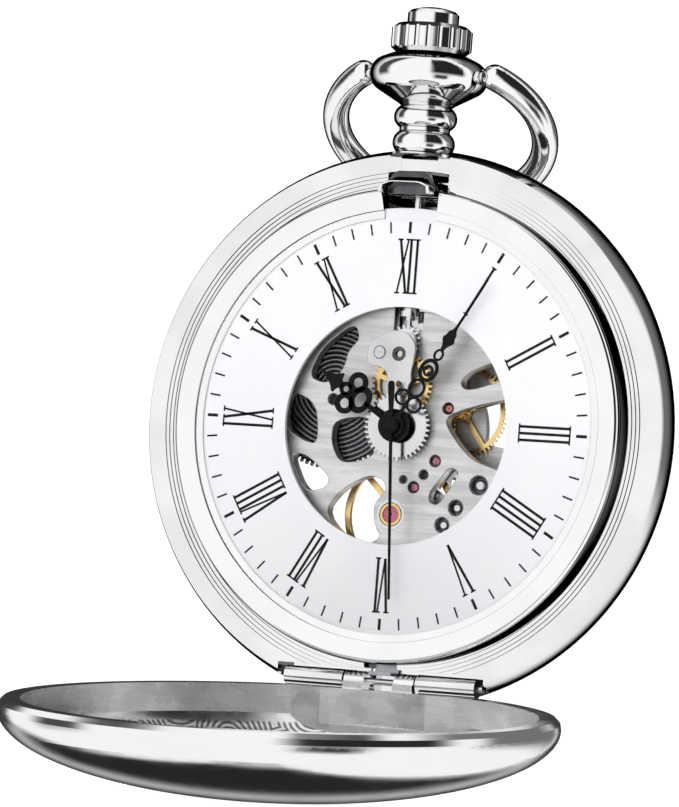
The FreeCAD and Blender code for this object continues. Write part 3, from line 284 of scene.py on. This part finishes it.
def plate_metal():
    """Plates brushed in long level strokes."""
    material, n = start_material("brushed_plate_metal")
    strokes = noise(n, (500, 500, 14000), 2.0)
    broad = noise(n, (120, 120, 1600), 2.0)
    tone = n.mix(n.ramp(broad, 0.3, 0.7), (0.60, 0.60, 0.60, 1), (0.78, 0.78, 0.78, 1))
    tone = n.mix(n.ramp(strokes, 0.55, 0.75, 0.0, 0.5), tone, (0.25, 0.25, 0.26, 1))
    # painted shade: the plate's tone falls to near black in recesses and under other pieces
    tone = painted_recess_shade(n, tone)
    bump = n.add("ShaderNodeBump", {"Height": strokes, "Strength": 1.0, "Distance": 0.004 * MM})
    rough = n.ramp(noise(n, (300, 300, 300)), 0.3, 0.7, 0.34, 0.46)
    surface = n.add("ShaderNodeBsdfPrincipled", {"Base Color": tone, "Metallic": 1.0, "Roughness": rough,
                                                 "Normal": bump.outputs[0]})
    n.add("ShaderNodeOutputMaterial", {0: surface.outputs[0]})
    return material


SPOT_PITCH, RING_PITCH = 5.6, 0.42                 # brushed spots on the cover's floor, and their rings
COVER_MIDDLE = (0.0, -27.24 * MM, -24.14 * MM)    # centre of the open cover's mouth, in metres


def cover_steel():
    """Cover: softly polished outside, brushed inner walls, inner floor with rows of round brushed spots."""
    material, n = start_material("cover_steel")
    coords = n.add("ShaderNodeTexCoord").outputs
    from_middle = n.add("ShaderNodeVectorMath", {0: coords["Object"], 1: COVER_MIDDLE}, operation="SUBTRACT")
    outward = n.add("ShaderNodeVectorMath", {0: from_middle.outputs[0], 1: coords["Normal"]},
                    operation="DOT_PRODUCT").outputs["Value"]
    inside = n.ramp(outward, -0.0022, -0.0014, 1.0, 0.0)
    level = n.ramp(n.add("ShaderNodeSeparateXYZ", {0: coords["Normal"]}).outputs["Z"], 0.45, 0.6)
    floor = n.math("MULTIPLY", inside, level)
    spots = {"Vector": stretched(n, (1, 1, 0)), "Scale": 1000 / SPOT_PITCH, "Randomness": 0.0}
    cells = n.add("ShaderNodeTexVoronoi", spots, voronoi_dimensions="2D")
    away = n.math("MULTIPLY", cells.outputs["Distance"], 6.2832 * SPOT_PITCH / RING_PITCH)
    rings = n.math("SINE", n.math("ADD", away, n.math("MULTIPLY", noise(n, (900, 900, 900)), 2.0)))
    strokes = noise(n, (500, 500, 4000), 3.0)
    plain = n.mix(noise(n, (200, 200, 200)), (0.84, 0.84, 0.85, 1), (0.93, 0.93, 0.93, 1))
    brushed = n.mix(n.ramp(strokes, 0.35, 0.65), (0.90, 0.90, 0.91, 1), (0.98, 0.98, 0.98, 1))
    spotted = n.mix(n.ramp(rings, -0.6, 0.6), (0.22, 0.22, 0.23, 1), (0.93, 0.93, 0.94, 1))
    tone = n.mix(floor, n.mix(inside, plain, brushed), spotted)
    soft = n.ramp(inside, 0.0, 1.0, 0.13, 0.27)
    rough = n.math("MULTIPLY", soft, n.ramp(noise(n, (400, 400, 400)), 0.3, 0.7, 0.8, 1.25))
    walls = n.math("MULTIPLY", strokes, n.math("SUBTRACT", 1.0, floor))
    height = n.math("MULTIPLY", n.math("ADD", n.math("MULTIPLY", rings, floor), walls), inside)
    bump = n.add("ShaderNodeBump", {"Height": height, "Strength": 1.0, "Distance": 0.0014 * MM})
    surface = n.add("ShaderNodeBsdfPrincipled", {"Base Color": tone, "Metallic": 1.0, "Roughness": rough,
                                                 "Normal": bump.outputs[0]})
    n.add("ShaderNodeOutputMaterial", {0: surface.outputs[0]})
    return material


def paint(name, light, dark, rough, worn, shine, mirror=0.5):
    """Enamel or lacquer: faint cloudiness, uneven gloss and a light orange peel."""
    material, n = start_material(name)
    tone = n.mix(n.ramp(noise(n, (90, 90, 90)), 0.3, 0.7), dark + (1,), light + (1,))
    gloss = n.ramp(noise(n, (700, 700, 700)), 0.35, 0.7, rough, worn)
    peel = n.add("ShaderNodeBump", {"Height": noise(n, (2500, 2500, 2500)), "Strength": 1.0,
                                    "Distance": 0.0008 * MM})
    surface = n.add("ShaderNodeBsdfPrincipled", {"Base Color": tone, "Roughness": gloss, "Coat Weight": shine,
                                                 "Coat Roughness": 0.05, "Specular IOR Level": mirror,
                                                 "Normal": peel.outputs[0]})
    n.add("ShaderNodeOutputMaterial", {0: surface.outputs[0]})
    return material


def crystal():
    """Clear domed crystal: nearly invisible face on, mirror-like at its edge."""
    material, n = start_material("clear_crystal")
    facing = n.add("ShaderNodeLayerWeight", {"Blend": 0.35}).outputs["Facing"]
    share = n.ramp(n.math("POWER", facing, 3.0), 0.0, 1.0, 0.02, 0.6)
    rough = n.ramp(noise(n, (600, 600, 600)), 0.3, 0.8, 0.01, 0.05)
    tone = n.mix(noise(n, (150, 150, 150)), (0.90, 0.91, 0.94, 1), (0.96, 0.96, 0.98, 1))
    surface = n.add("ShaderNodeBsdfPrincipled", {"Base Color": tone, "Roughness": rough, "Alpha": share,
                                                 "Transmission Weight": 1.0, "IOR": 1.1})
    n.add("ShaderNodeOutputMaterial", {0: surface.outputs[0]})
    return material


def ruby():
    material, n = start_material("ruby_stone")
    cloud = noise(n, (1500, 1500, 1500))
    tone = n.mix(cloud, (0.45, 0.02, 0.09, 1), (0.85, 0.16, 0.30, 1))
    rough = n.ramp(cloud, 0.3, 0.7, 0.03, 0.10)
    surface = n.add("ShaderNodeBsdfPrincipled", {"Base Color": tone, "Roughness": rough, "Coat Weight": 0.8,
                                                 "Transmission Weight": 0.25, "IOR": 1.76})
    n.add("ShaderNodeOutputMaterial", {0: surface.outputs[0]})
    return material


LOOKS = {
    # last argument 0.92: strength of the painted dark reflection along the outline of polished steel
    "polished_steel": metal("polished_steel_metal", (0.93, 0.93, 0.94), (0.89, 0.89, 0.90), 0.025, 0.07,
                            (900, 900, 900), 0.0004, 0.92),
    "crystal": crystal(),
    "dial_white": paint("white_enamel", (0.90, 0.90, 0.92), (0.86, 0.86, 0.885), 0.30, 0.42, 0.2),
    "brushed_plate": plate_metal(),
    "gilt_brass": metal("gilt_metal", (0.90, 0.66, 0.30), (0.80, 0.55, 0.22), 0.16, 0.30,
                        (3000, 3000, 3000), 0.001),
    "bright_steel": metal("bright_steel_metal", (0.80, 0.80, 0.81), (0.70, 0.70, 0.71), 0.12, 0.26,
                          (2500, 2500, 2500), 0.0012),
    "spring_steel": metal("spring_metal", (0.50, 0.51, 0.54), (0.36, 0.37, 0.40), 0.16, 0.30,
                          (2500, 2500, 2500), 0.0015),
    "black_hands": paint("black_lacquer", (0.006, 0.006, 0.007), (0.002, 0.002, 0.003), 0.30, 0.42,
                         0.02, 0.12),
    "ruby": ruby(),
    "screw_steel": metal("screw_metal", (0.74, 0.75, 0.77), (0.62, 0.63, 0.65), 0.10, 0.22,
                         (2500, 2500, 2500), 0.001),
}
INK = paint("numeral_ink", (0.010, 0.010, 0.012), (0.004, 0.004, 0.005), 0.35, 0.5, 0.05, 0.2)
OWN_LOOKS = {
    "cover_dome": cover_steel(),
    # last argument 0.92: strength of the painted dark reflection along the outline of the case
    "case_body": metal("case_steel", (0.88, 0.88, 0.89), (0.80, 0.80, 0.81), 0.03, 0.08,
                       (900, 900, 900), 0.0004, 0.92),
    # barrel and barrel cover: near-black tone is painted shade
    "barrel": barrel_metal(),
    # movement ring: near-black steel, far darker than bare steel, is painted shade; the same look lines the
    # catch recess, the bores and the rings round the setting jewel and screw
    "movement_ring": metal("painted_shade_dark_steel", (0.16, 0.16, 0.17), (0.05, 0.05, 0.055), 0.14, 0.3,
                           (400, 400, 6000), 0.002),
}
OWN_LOOKS["cover_rim"] = OWN_LOOKS["cover_dome"]
OWN_LOOKS["setting_bridge"] = metal("setting_bridge_steel", (0.74, 0.74, 0.75), (0.60, 0.60, 0.61),
                                    0.20, 0.34, (900, 900, 5000), 0.001)
OWN_LOOKS["barrel_cover"] = OWN_LOOKS["barrel"]


def dress_frame():
    """Give every node of the frame the look of its slot."""
    for name, node in NODES.items():
        for slot in node.material_slots:
            finish = slot.material.name.split(".")[0]
            if name in OWN_LOOKS:
                slot.material = OWN_LOOKS[name]
            elif finish in LOOKS:
                slot.material = LOOKS[finish]


# ---- mesh helpers -----------------------------------------------------------------------------------
def mesh_object(name, verts, faces, look, body, smooth=False):
    """Object from millimetre points that rides a body and takes the finish of a slot."""
    mesh = bpy.data.meshes.new(name)
    mesh.from_pydata([tuple(c * MM for c in v) for v in verts], [], faces)
    work = bmesh.new()
    work.from_mesh(mesh)
    bmesh.ops.recalc_face_normals(work, faces=work.faces)
    work.to_mesh(mesh)
    work.free()
    for face in mesh.polygons:
        face.use_smooth = smooth
    mesh.materials.append(look)
    thing = bpy.data.objects.new(name, mesh)
    bpy.context.scene.collection.objects.link(thing)
    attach(thing, body)
    return thing


def lathe(name, profile, look, body, start=0.0, end=360.0, steps=288, axis="y", at=(0.0, 0.0)):
    """Turn a closed profile about the watch's axis (radius, y), or about the pendant's axis (radius, z)."""
    whole = end - start >= 360
    count = steps if whole else steps + 1
    verts, faces = [], []
    size = len(profile)
    for k in range(count):
        turn = math.radians(start + (end - start) * k / steps)
        for radius, level in profile:
            if axis == "y":
                verts.append((at[0] + radius * math.sin(turn), level, at[1] + radius * math.cos(turn)))
            else:
                verts.append((radius * math.sin(turn), PENDANT_Y + radius * math.cos(turn), level))
    for k in range(steps):
        near, far = k * size, ((k + 1) % count) * size
        for p in range(size):
            q = (p + 1) % size
            faces.append((near + p, near + q, far + q, far + p))
    if not whole:
        faces.append(tuple(range(size)))
        faces.append(tuple(range((count - 1) * size, count * size)))
    thing = mesh_object(name, verts, faces, look, body, smooth=True)
    mesh = thing.data
    work = bmesh.new()
    work.from_mesh(mesh)
    bmesh.ops.remove_doubles(work, verts=work.verts, dist=1e-8)
    bmesh.ops.dissolve_degenerate(work, edges=work.edges, dist=1e-8)
    for edge in work.edges:
        edge.smooth = len(edge.link_faces) == 2 and edge.calc_face_angle(0.0) < math.radians(24)
    work.to_mesh(mesh)
    work.free()
    return thing


def rounded(points, radii, steps=5):
    """Closed profile with its corners rounded by the given radii."""
    out = []
    count = len(points)
    for k in range(count):
        here = Vector(points[k])
        radius = radii.get(k, 0.0)
        if not radius:
            out.append(tuple(here))
            continue
        before = (Vector(points[k - 1]) - here)
        after = (Vector(points[(k + 1) % count]) - here)
        reach = min(radius, before.length * 0.48, after.length * 0.48)
        start = here + before.normalized() * reach
        end = here + after.normalized() * reach
        for step in range(steps + 1):
            t = step / steps
            point = start * (1 - t) ** 2 + here * 2 * t * (1 - t) + end * t ** 2
            out.append(tuple(point))
    return out


def bezel_and_crystal():
    """Snap bezel, open at the catch, and the domed crystal with its polished edge."""
    profile = rounded([(20.0, -6.57), (20.0, -7.75), (19.72, -8.2), (19.0, -7.95), (18.16, -7.8),
                       (18.16, -7.62), (17.5, -7.62), (17.5, -7.52), (18.3, -7.52), (18.3, -6.57)],
                      {1: 0.25, 2: 0.22, 3: 0.3, 4: 0.05, 6: 0.04})
    bezel = lathe("bezel_ring", profile, LOOKS["polished_steel"], "case", 7.6, 352.4)
    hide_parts("front_bezel")
    outside, inside = [], []
    for k in range(15):
        radius = 17.3 * math.sin(math.radians(90 * (14 - k) / 14))
        outside.append((max(radius, 0.0), -9.75 + 1.27 * (radius / 17.3) ** 2))
        inside.append((17.3 * math.sin(math.radians(90 * k / 14)) * 0.985,
                       -9.05 + 0.42 * (math.sin(math.radians(90 * k / 14)) ** 2)))
    profile = [(17.5, -7.64), (18.08, -7.64), (18.1, -7.95), (17.6, -8.35)] + outside + inside
    glass = lathe("crystal_dome", profile, LOOKS["crystal"], "case")
    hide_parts("front_crystal")


# ---- dial printing ----------------------------------------------------------------------------------
NUMERAL_LOW, NUMERAL_HIGH = 11.15, 15.65
BAR, THIN, SERIF = 0.23, 0.16, 0.14
STEP = {"I": 0.56, "V": 1.02, "X": 0.98}


def add_bar(verts, faces, corners):
    """Thin raised bar with a bevelled top edge, from four x, z corners."""
    middle = [sum(c[k] for c in corners) / 4 for k in (0, 1)]
    base = len(verts)
    for y, inset in ((DIAL_FRONT + 0.004, 0.0), (DIAL_FRONT - 0.008, 0.0), (DIAL_FRONT - 0.014, 0.012)):
        for x, z in corners:
            away = math.hypot(x - middle[0], z - middle[1])
            share = 1 - inset / away
            verts.append((middle[0] + (x - middle[0]) * share, y, middle[1] + (z - middle[1]) * share))
    for ring in (0, 4):
        for k in range(4):
            after = (k + 1) % 4
            faces.append((base + ring + k, base + ring + after, base + ring + 4 + after, base + ring + 4 + k))
    faces.append((base + 8, base + 9, base + 10, base + 11))
    faces.append((base + 3, base + 2, base + 1, base))


def stroke(start, end, wide):
    """Corners of a stroke between two points whose ends stay level, as in a drawn letter."""
    (x0, v0), (x1, v1) = start, end
    half = wide / 2 * math.hypot(x1 - x0, v1 - v0) / max(abs(v1 - v0), 1e-6)
    return [(x0 - half, v0), (x0 + half, v0), (x1 + half, v1), (x1 - half, v1)]


def numeral_strokes(text):
    """Strokes and serifs of one roman numeral, centred on zero, height 0 to 1 scaled by the caller."""
    tall = NUMERAL_HIGH - NUMERAL_LOW
    bars, tops, feet = [], [], []
    at = 0.0
    for letter in text:
        if letter == "I":
            bars.append(stroke((at, 0), (at, tall), BAR))
            tops.append(at)
            feet.append(at)
        elif letter == "V":
            bars.append(stroke((at, tall), (at + 0.42, 0), BAR))
            bars.append(stroke((at + 0.80, tall), (at + 0.42, 0), THIN))
            tops += [at, at + 0.80]
        else:
            bars.append(stroke((at, tall), (at + 0.74, 0), BAR))
            bars.append(stroke((at + 0.72, tall), (at - 0.04, 0), THIN))
            tops += [at, at + 0.72]
            feet += [at - 0.04, at + 0.74]
        at += STEP[letter]
    for places, level in ((tops, tall), (feet, 0.0)):
        if not places:
            continue
        places.sort()
        run = [places[0], places[0]]
        for place in places[1:] + [99.0]:
            if place - run[1] > 0.6:
                low = level - SERIF / 2
                bars.append([(run[0] - 0.24, low), (run[1] + 0.24, low), (run[1] + 0.24, low + SERIF),
                             (run[0] - 0.24, low + SERIF)])
                run = [place, place]
            run[1] = place
    left = min(x for bar in bars for x, v in bar)
    right = max(x for bar in bars for x, v in bar)
    shift = (left + right) / 2
    return [[(x - shift, v) for x, v in bar] for bar in bars]


def dial_print():
    """Roman numerals with their feet towards the centre, and the minute track."""
    verts, faces = [], []
    names = ("XII", "I", "II", "III", "IIII", "V", "VI", "VII", "VIII", "IX", "X", "XI")
    for hour, text in enumerate(names):
        turn = math.radians(30 * hour)
        out = (math.sin(turn), math.cos(turn))
        clockwise = (math.cos(turn), -math.sin(turn))
        for bar in numeral_strokes(text):
            corners = []
            for u, v in bar:
                reach = NUMERAL_LOW + v
                corners.append((out[0] * reach + clockwise[0] * u, out[1] * reach + clockwise[1] * u))
            add_bar(verts, faces, corners)
    for minute in range(60):
        turn = math.radians(6 * minute)
        out = (math.sin(turn), math.cos(turn))
        clockwise = (math.cos(turn), -math.sin(turn))
        half = 0.13 if minute % 5 == 0 else 0.075
        corners = [(out[0] * r + clockwise[0] * w, out[1] * r + clockwise[1] * w)
                   for r, w in ((16.2, -half), (17.15, -half), (17.15, half), (16.2, half))]
        add_bar(verts, faces, corners)
    mesh_object("dial_numerals", verts, faces, INK, "case")


# ---- flat pieces ------------------------------------------------------------------------------------
def flat_mesh(outlines, front, back, bevel, turn=0.0):
    """Plate with bevelled edges and holes, from closed outlines of (x, z) points turned to a clock angle."""
    curve = bpy.data.curves.new("outline", "CURVE")
    curve.dimensions = "2D"
    curve.fill_mode = "BOTH"
    curve.extrude = ((back - front) / 2 - bevel) * MM
    curve.bevel_depth = bevel * MM
    curve.bevel_resolution = 1
    curve.offset = -bevel * MM
    clock = math.radians(turn)
    for outline in outlines:
        spline = curve.splines.new("POLY")
        spline.points.add(len(outline) - 1)
        for point, (x, z) in zip(spline.points, outline):
            point.co = ((x * math.cos(clock) + z * math.sin(clock)) * MM,
                        (z * math.cos(clock) - x * math.sin(clock)) * MM, 0, 1)
        spline.use_cyclic_u = True
    holder = bpy.data.objects.new("outline", curve)
    bpy.context.scene.collection.objects.link(holder)
    bpy.context.view_layer.update()
    mesh = bpy.data.meshes.new_from_object(holder.evaluated_get(bpy.context.evaluated_depsgraph_get()))
    bpy.data.objects.remove(holder)
    upright = Matrix.Rotation(math.radians(90), 4, "X")
    mesh.transform(Matrix.Translation((0, (front + back) / 2 * MM, 0)) @ upright)
    return mesh


def flat_object(name, parts, look, body):
    """One object from several flat meshes."""
    work = bmesh.new()
    for part in parts:
        work.from_mesh(part)
    bmesh.ops.remove_doubles(work, verts=work.verts, dist=1e-7)
    for edge in work.edges:
        edge.smooth = False
    mesh = bpy.data.meshes.new(name)
    work.to_mesh(mesh)
    work.free()
    mesh.materials.append(look)
    thing = bpy.data.objects.new(name, mesh)
    bpy.context.scene.collection.objects.link(thing)
    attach(thing, body)
    return thing


def circle(radius, at=(0.0, 0.0), wide=1.0, steps=40):
    points = []
    for k in range(steps):
        turn = 2 * math.pi * k / steps
        points.append((at[0] + radius * wide * math.sin(turn), at[1] + radius * math.cos(turn)))
    return points


def smooth(points, rounds=2):
    """Closed outline with its corners cut into curves."""
    for _ in range(rounds):
        out = []
        for k, (x, z) in enumerate(points):
            x1, z1 = points[(k + 1) % len(points)]
            out.append((x * 0.78 + x1 * 0.22, z * 0.78 + z1 * 0.22))
            out.append((x * 0.22 + x1 * 0.78, z * 0.22 + z1 * 0.78))
        points = out
    return points


def mirrored(points):
    """Outline drawn on the right of the middle line, closed with its mirror image."""
    return points + [(-x, z) for x, z in reversed(points)]


def pierced_hands():
    """Hour and minute hands with loops, spade and point, and the plain seconds hand with its boss."""
    front, back, bevel = -7.87, -7.68, 0.04
    shapes = [
        [circle(1.4), circle(0.99)],
        [mirrored([(0.24, 1.25), (0.2, 3.3)])],
        [smooth(circle(0.98, (0, 3.75), 1.25, 24)), circle(0.5, (0, 3.75), 1.3)],
        [circle(0.9, (-1.05, 4.75)), circle(0.42, (-1.05, 4.75))],
        [circle(0.9, (1.05, 4.75)), circle(0.42, (1.05, 4.75))],
        [circle(0.6, (0, 5.35)), circle(0.25, (0, 5.35))],
        [smooth(mirrored([(0.3, 5.7), (0.35, 6.1), (1.05, 6.25), (0.5, 6.8), (0.35, 7.2), (0.12, 7.7),
                          (0.03, 8.7)]), 1)],
    ]
    parts = [flat_mesh(outlines, front, back, bevel, HOUR_CLOCK) for outlines in shapes]
    hand = flat_object("hour_hand_pierced", parts, LOOKS["black_hands"], "hour")
    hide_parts("hour_hand")
    front, back = -8.17, -7.98
    shapes = [
        [circle(1.05), circle(0.73)],
        [mirrored([(0.18, 0.95), (0.14, 2.0)])],
        [circle(0.72, (-0.62, 2.45)), circle(0.5, (-0.62, 2.45))],
        [circle(0.72, (0.62, 2.45)), circle(0.5, (0.62, 2.45))],
        [circle(0.85, (0, 3.75), 0.9), circle(0.6, (0, 3.75), 0.9)],
        [circle(1.05, (0, 5.55), 0.8), circle(0.72, (0, 5.55), 0.75)],
        [circle(0.5, (0, 5.5)), circle(0.28, (0, 5.5))],
        [circle(0.55, (0, 7.1), 0.8), circle(0.34, (0, 7.1), 0.75)],
        [smooth(mirrored([(0.14, 7.55), (0.22, 8.0), (0.62, 8.6), (0.42, 8.9), (0.4, 9.3), (0.12, 9.6),
                          (0.1, 11.0), (0.05, 14.7)]), 1)],
    ]
    parts = [flat_mesh(outlines, front, back, bevel, MINUTE_CLOCK) for outlines in shapes]
    hand = flat_object("minute_hand_pierced", parts, LOOKS["black_hands"], "centre")
    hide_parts("minute_hand")
    front, back = -8.47, -8.28
    shapes = [
        [smooth(mirrored([(0.24, -3.7), (0.3, -3.2), (0.16, -0.6)]), 1)],
        [mirrored([(0.15, -0.7), (0.14, 0.7), (0.09, 14.6)])],
    ]
    parts = [flat_mesh(outlines, front, back, bevel, SECOND_CLOCK) for outlines in shapes]
    boss = rounded([(0.0, -8.62), (0.5, -8.62), (0.72, -8.47), (0.72, -8.28), (0.0, -8.28)], {1: 0.1, 2: 0.08})
    lathe("second_hand_boss", boss, LOOKS["black_hands"], "seconds", steps=48)
    needle = flat_object("second_hand_needle", parts, LOOKS["black_hands"], "seconds")
    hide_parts("second_hand")


# corners of the windows in the main plate, x to 3 o'clock and z to 12, before smooth() rounds them
PLATE_WINDOWS = (
    [(-8.7, 3.8), (-7.8, 6.2), (-4.9, 8.6), (-4.3, 7.2), (-5.3, 6.2), (-5.5, 4.9), (-6.2, 3.8), (-7.3, 3.3)],
    [(-10.4, 2.6), (-7.8, 1.6), (-7.4, -1.8), (-8.6, -1.7), (-10.6, -0.6)],
    [(-6.1, 0.3), (-2.6, 0.8), (-2.0, -2.3), (-3.4, -3.1), (-5.3, -3.3), (-6.2, -1.6)],
    [(-9.9, -2.7), (-8.4, -2.8), (-6.5, -4.2), (-6.1, -4.9), (-6.6, -5.6), (-8.3, -5.9)],
    [(-6.4, -7.7), (-5.1, -5.7), (-2.6, -4.2), (-1.2, -4.5), (-0.9, -5.5), (-1.9, -6.5), (-1.8, -8.2),
     (-0.9, -9.4), (-3.2, -10.4)],
    [(5.1, 4.1), (5.9, 5.0), (8.6, 6.1), (9.3, 4.5), (6.1, 3.4), (5.3, 3.5)],
    [(3.7, 1.0), (6.5, 2.1), (10.4, 3.0), (10.6, -0.5), (9.8, -3.4), (8.1, -2.9), (6.6, -2.4), (5.1, -1.0)],
    [(3.0, -5.4), (3.9, -4.2), (4.7, -3.1), (5.6, -3.5), (5.1, -4.5), (3.9, -6.4), (3.1, -6.2)],
)
PLATE_BORES = (                                  # the first five are pivot holes, the others are blind
    ((0.0, 0.0), 1.0),
    (THIRD_AT, 0.5),
    (ESCAPE_AT, 0.5),
    (PALLET_AT, 0.5),
    (BALANCE_AT, 1.2),
    ((7.4, -4.5), 0.75),
    ((5.5, -6.5), 0.6),
    ((4.4, -8.0), 0.6),
    ((2.4, -3.9), 0.36),
    ((-6.3, 2.0), 0.4),
    ((0.6, -4.4), 0.3),
)
PIVOT_BORES = 5


def pierced_plate():
    """Main plate with the curved windows that show the barrel, train and balance."""
    outlines = [circle(17.9, steps=160)]
    outlines += [smooth(window) for window in PLATE_WINDOWS]
    outlines += [circle(radius, at, steps=28) for at, radius in PLATE_BORES]
    outlines.append([(-1.3, 8.1), (1.3, 8.1), (1.3, 17.0), (-1.3, 17.0)])
    part = flat_mesh(outlines, PLATE_FRONT, PLATE_BACK, 0.07)
    plate = flat_object("main_plate_pierced", [part], LOOKS["brushed_plate"], "case")
    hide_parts("main_plate")


def catch_hood():
    """Nose of the catch: a bent hood, open at the front, over a dark plate that is painted shade in the recess
    behind it.
    """
    outer = [(2.35, 19.38), (2.25, 20.1), (1.55, 21.15), (1.1, 21.35)]
    inner = [(2.05, 19.38), (1.95, 20.0), (1.35, 20.85), (1.0, 21.05)]
    ring = outer + [(-x, z) for x, z in reversed(outer)] + [(-x, z) for x, z in inner] + list(reversed(inner))
    hood = flat_mesh([ring], -9.7, -6.7, 0.06)
    for vertex in hood.vertices:
        forward = max(0.0, (-vertex.co.y / MM - 8.4) / 1.5)
        vertex.co.z -= max(0.0, vertex.co.z - 20.0 * MM) * 0.85 * forward
    # dark plate behind the hood: painted shade of the recess
    back = flat_mesh([mirrored(outer)], -8.3, -6.7, 0.04)
    shank = flat_mesh([mirrored([(2.0, 19.35), (2.0, 20.6)])], -6.75, -4.6, 0.05)
    finger = flat_mesh([mirrored([(0.8, 19.35), (0.8, 19.9)])], -4.65, -2.3, 0.04)
    nose = flat_object("catch_hood", [hood, shank, finger], LOOKS["polished_steel"], "catch")
    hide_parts("catch")
    flat_object("catch_painted_shade", [back], OWN_LOOKS["movement_ring"], "catch")


def flange_bridge():
    """Front of the flange above the catch, closing the pocket in which the catch slides."""
    profile = rounded([(21.5, -6.53), (22.9, -6.53), (22.9, -6.1), (21.5, -6.1)], {0: 0.05, 1: 0.1})
    lathe("flange_bridge", profile, OWN_LOOKS["case_body"], "case", start=-8, end=8, steps=24)


def setting_cover():
    """Silver bridge of the setting work with its round lobe and screw; near-black rings round the jewel hole
    and the screw head are painted shade.
    """
    outline = smooth([(-3.05, 5.0), (-3.05, 6.6), (-2.3, 7.4), (-0.9, 8.0), (0.4, 7.9), (1.3, 6.9),
                      (1.15, 5.4), (1.0, 4.5), (1.15, 3.4), (0.0, 2.35), (-1.15, 3.3), (-1.1, 4.3),
                      (-1.7, 4.9)], 2)
    holes = [circle(0.42, SETTING_JEWEL_AT), circle(0.24, MINUTE_AT)]
    upper = flat_mesh([outline] + holes, -7.34, -7.12, 0.05)
    under = smooth([(-2.8, 4.9), (-2.8, 6.5), (-2.0, 7.0), (-1.0, 7.9), (0.9, 7.9), (1.2, 6.8), (1.0, 5.3)], 1)
    lower = flat_mesh([under], -7.12, -6.86, 0.03)
    bridge = flat_object("setting_bridge_pierced", [upper, lower], OWN_LOOKS["setting_bridge"], "case")
    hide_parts("setting_bridge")
    # near-black ring round the jewel hole: painted shade
    ring = rounded([(0.3, -7.36), (0.62, -7.36), (0.62, -7.3), (0.3, -7.3)], {0: 0.02, 1: 0.03})
    dark = OWN_LOOKS["movement_ring"]
    lathe("setting_jewel_painted_shade", ring, dark, "case", at=SETTING_JEWEL_AT, steps=40)
    slit = [(-2.35, 6.06), (-1.55, 6.06), (-1.55, 6.14), (-2.35, 6.14)]
    head = flat_mesh([circle(0.48, SETTING_HEAD_AT), slit], -7.42, -7.3, 0.03)
    flat_object("setting_screw_head", [head], LOOKS["screw_steel"], "case")
    # thin near-black ring round the screw head: painted shadow outline
    seat = rounded([(0.5, -7.35), (0.56, -7.35), (0.56, -7.3), (0.5, -7.3)], {})
    lathe("setting_screw_painted_shade", seat, dark, "case", at=SETTING_HEAD_AT, steps=40)


def plate_settings():
    """Blind bores lined with near-black cups, painted shade inside them and on their turned rims, and the gilt
    and steel rings round the balance jewel.
    """
    dark, bright = OWN_LOOKS["movement_ring"], LOOKS["screw_steel"]
    for number, (at, bore) in enumerate(PLATE_BORES[PIVOT_BORES:]):
        wall, rim = bore + 0.02, bore + 0.12
        # near-black cup: painted shade inside the bore and round its mouth
        cup = rounded([(0.0, -5.5), (wall, -5.5), (wall, PLATE_FRONT), (rim, PLATE_FRONT), (rim, -5.1),
                       (0.0, -5.1)], {})
        lathe(f"bore_painted_shade_{number}", cup, dark, "case", at=at, steps=40)
        if bore > 0.45:
            top, side = bore * 0.45, bore * 0.6
            eye = rounded([(0.0, -5.86), (top, -5.86), (side, -5.7), (side, -5.45), (0.0, -5.45)],
                          {1: 0.05, 2: 0.05})
            lathe(f"bore_eye_{number}", eye, bright, "case", at=at, steps=32)
    for name, low, high, look, slot in (("balance_seat_outer", 1.0, 1.32, bright, "screw_steel"),
                                        ("balance_seat_gilt", 0.72, 0.97, LOOKS["gilt_brass"], "gilt_brass")):
        ring = rounded([(low, -6.22), (high, -6.22), (high, -5.9), (low, -5.9)], {0: 0.05, 1: 0.08})
        lathe(name, ring, look, "case", at=BALANCE_AT, steps=56)


place_camera()
build_world()
build_stage()
dress_frame()
dial_print()
bezel_and_crystal()
pierced_hands()
pierced_plate()
catch_hood()
flange_bridge()
setting_cover()
plate_settings()
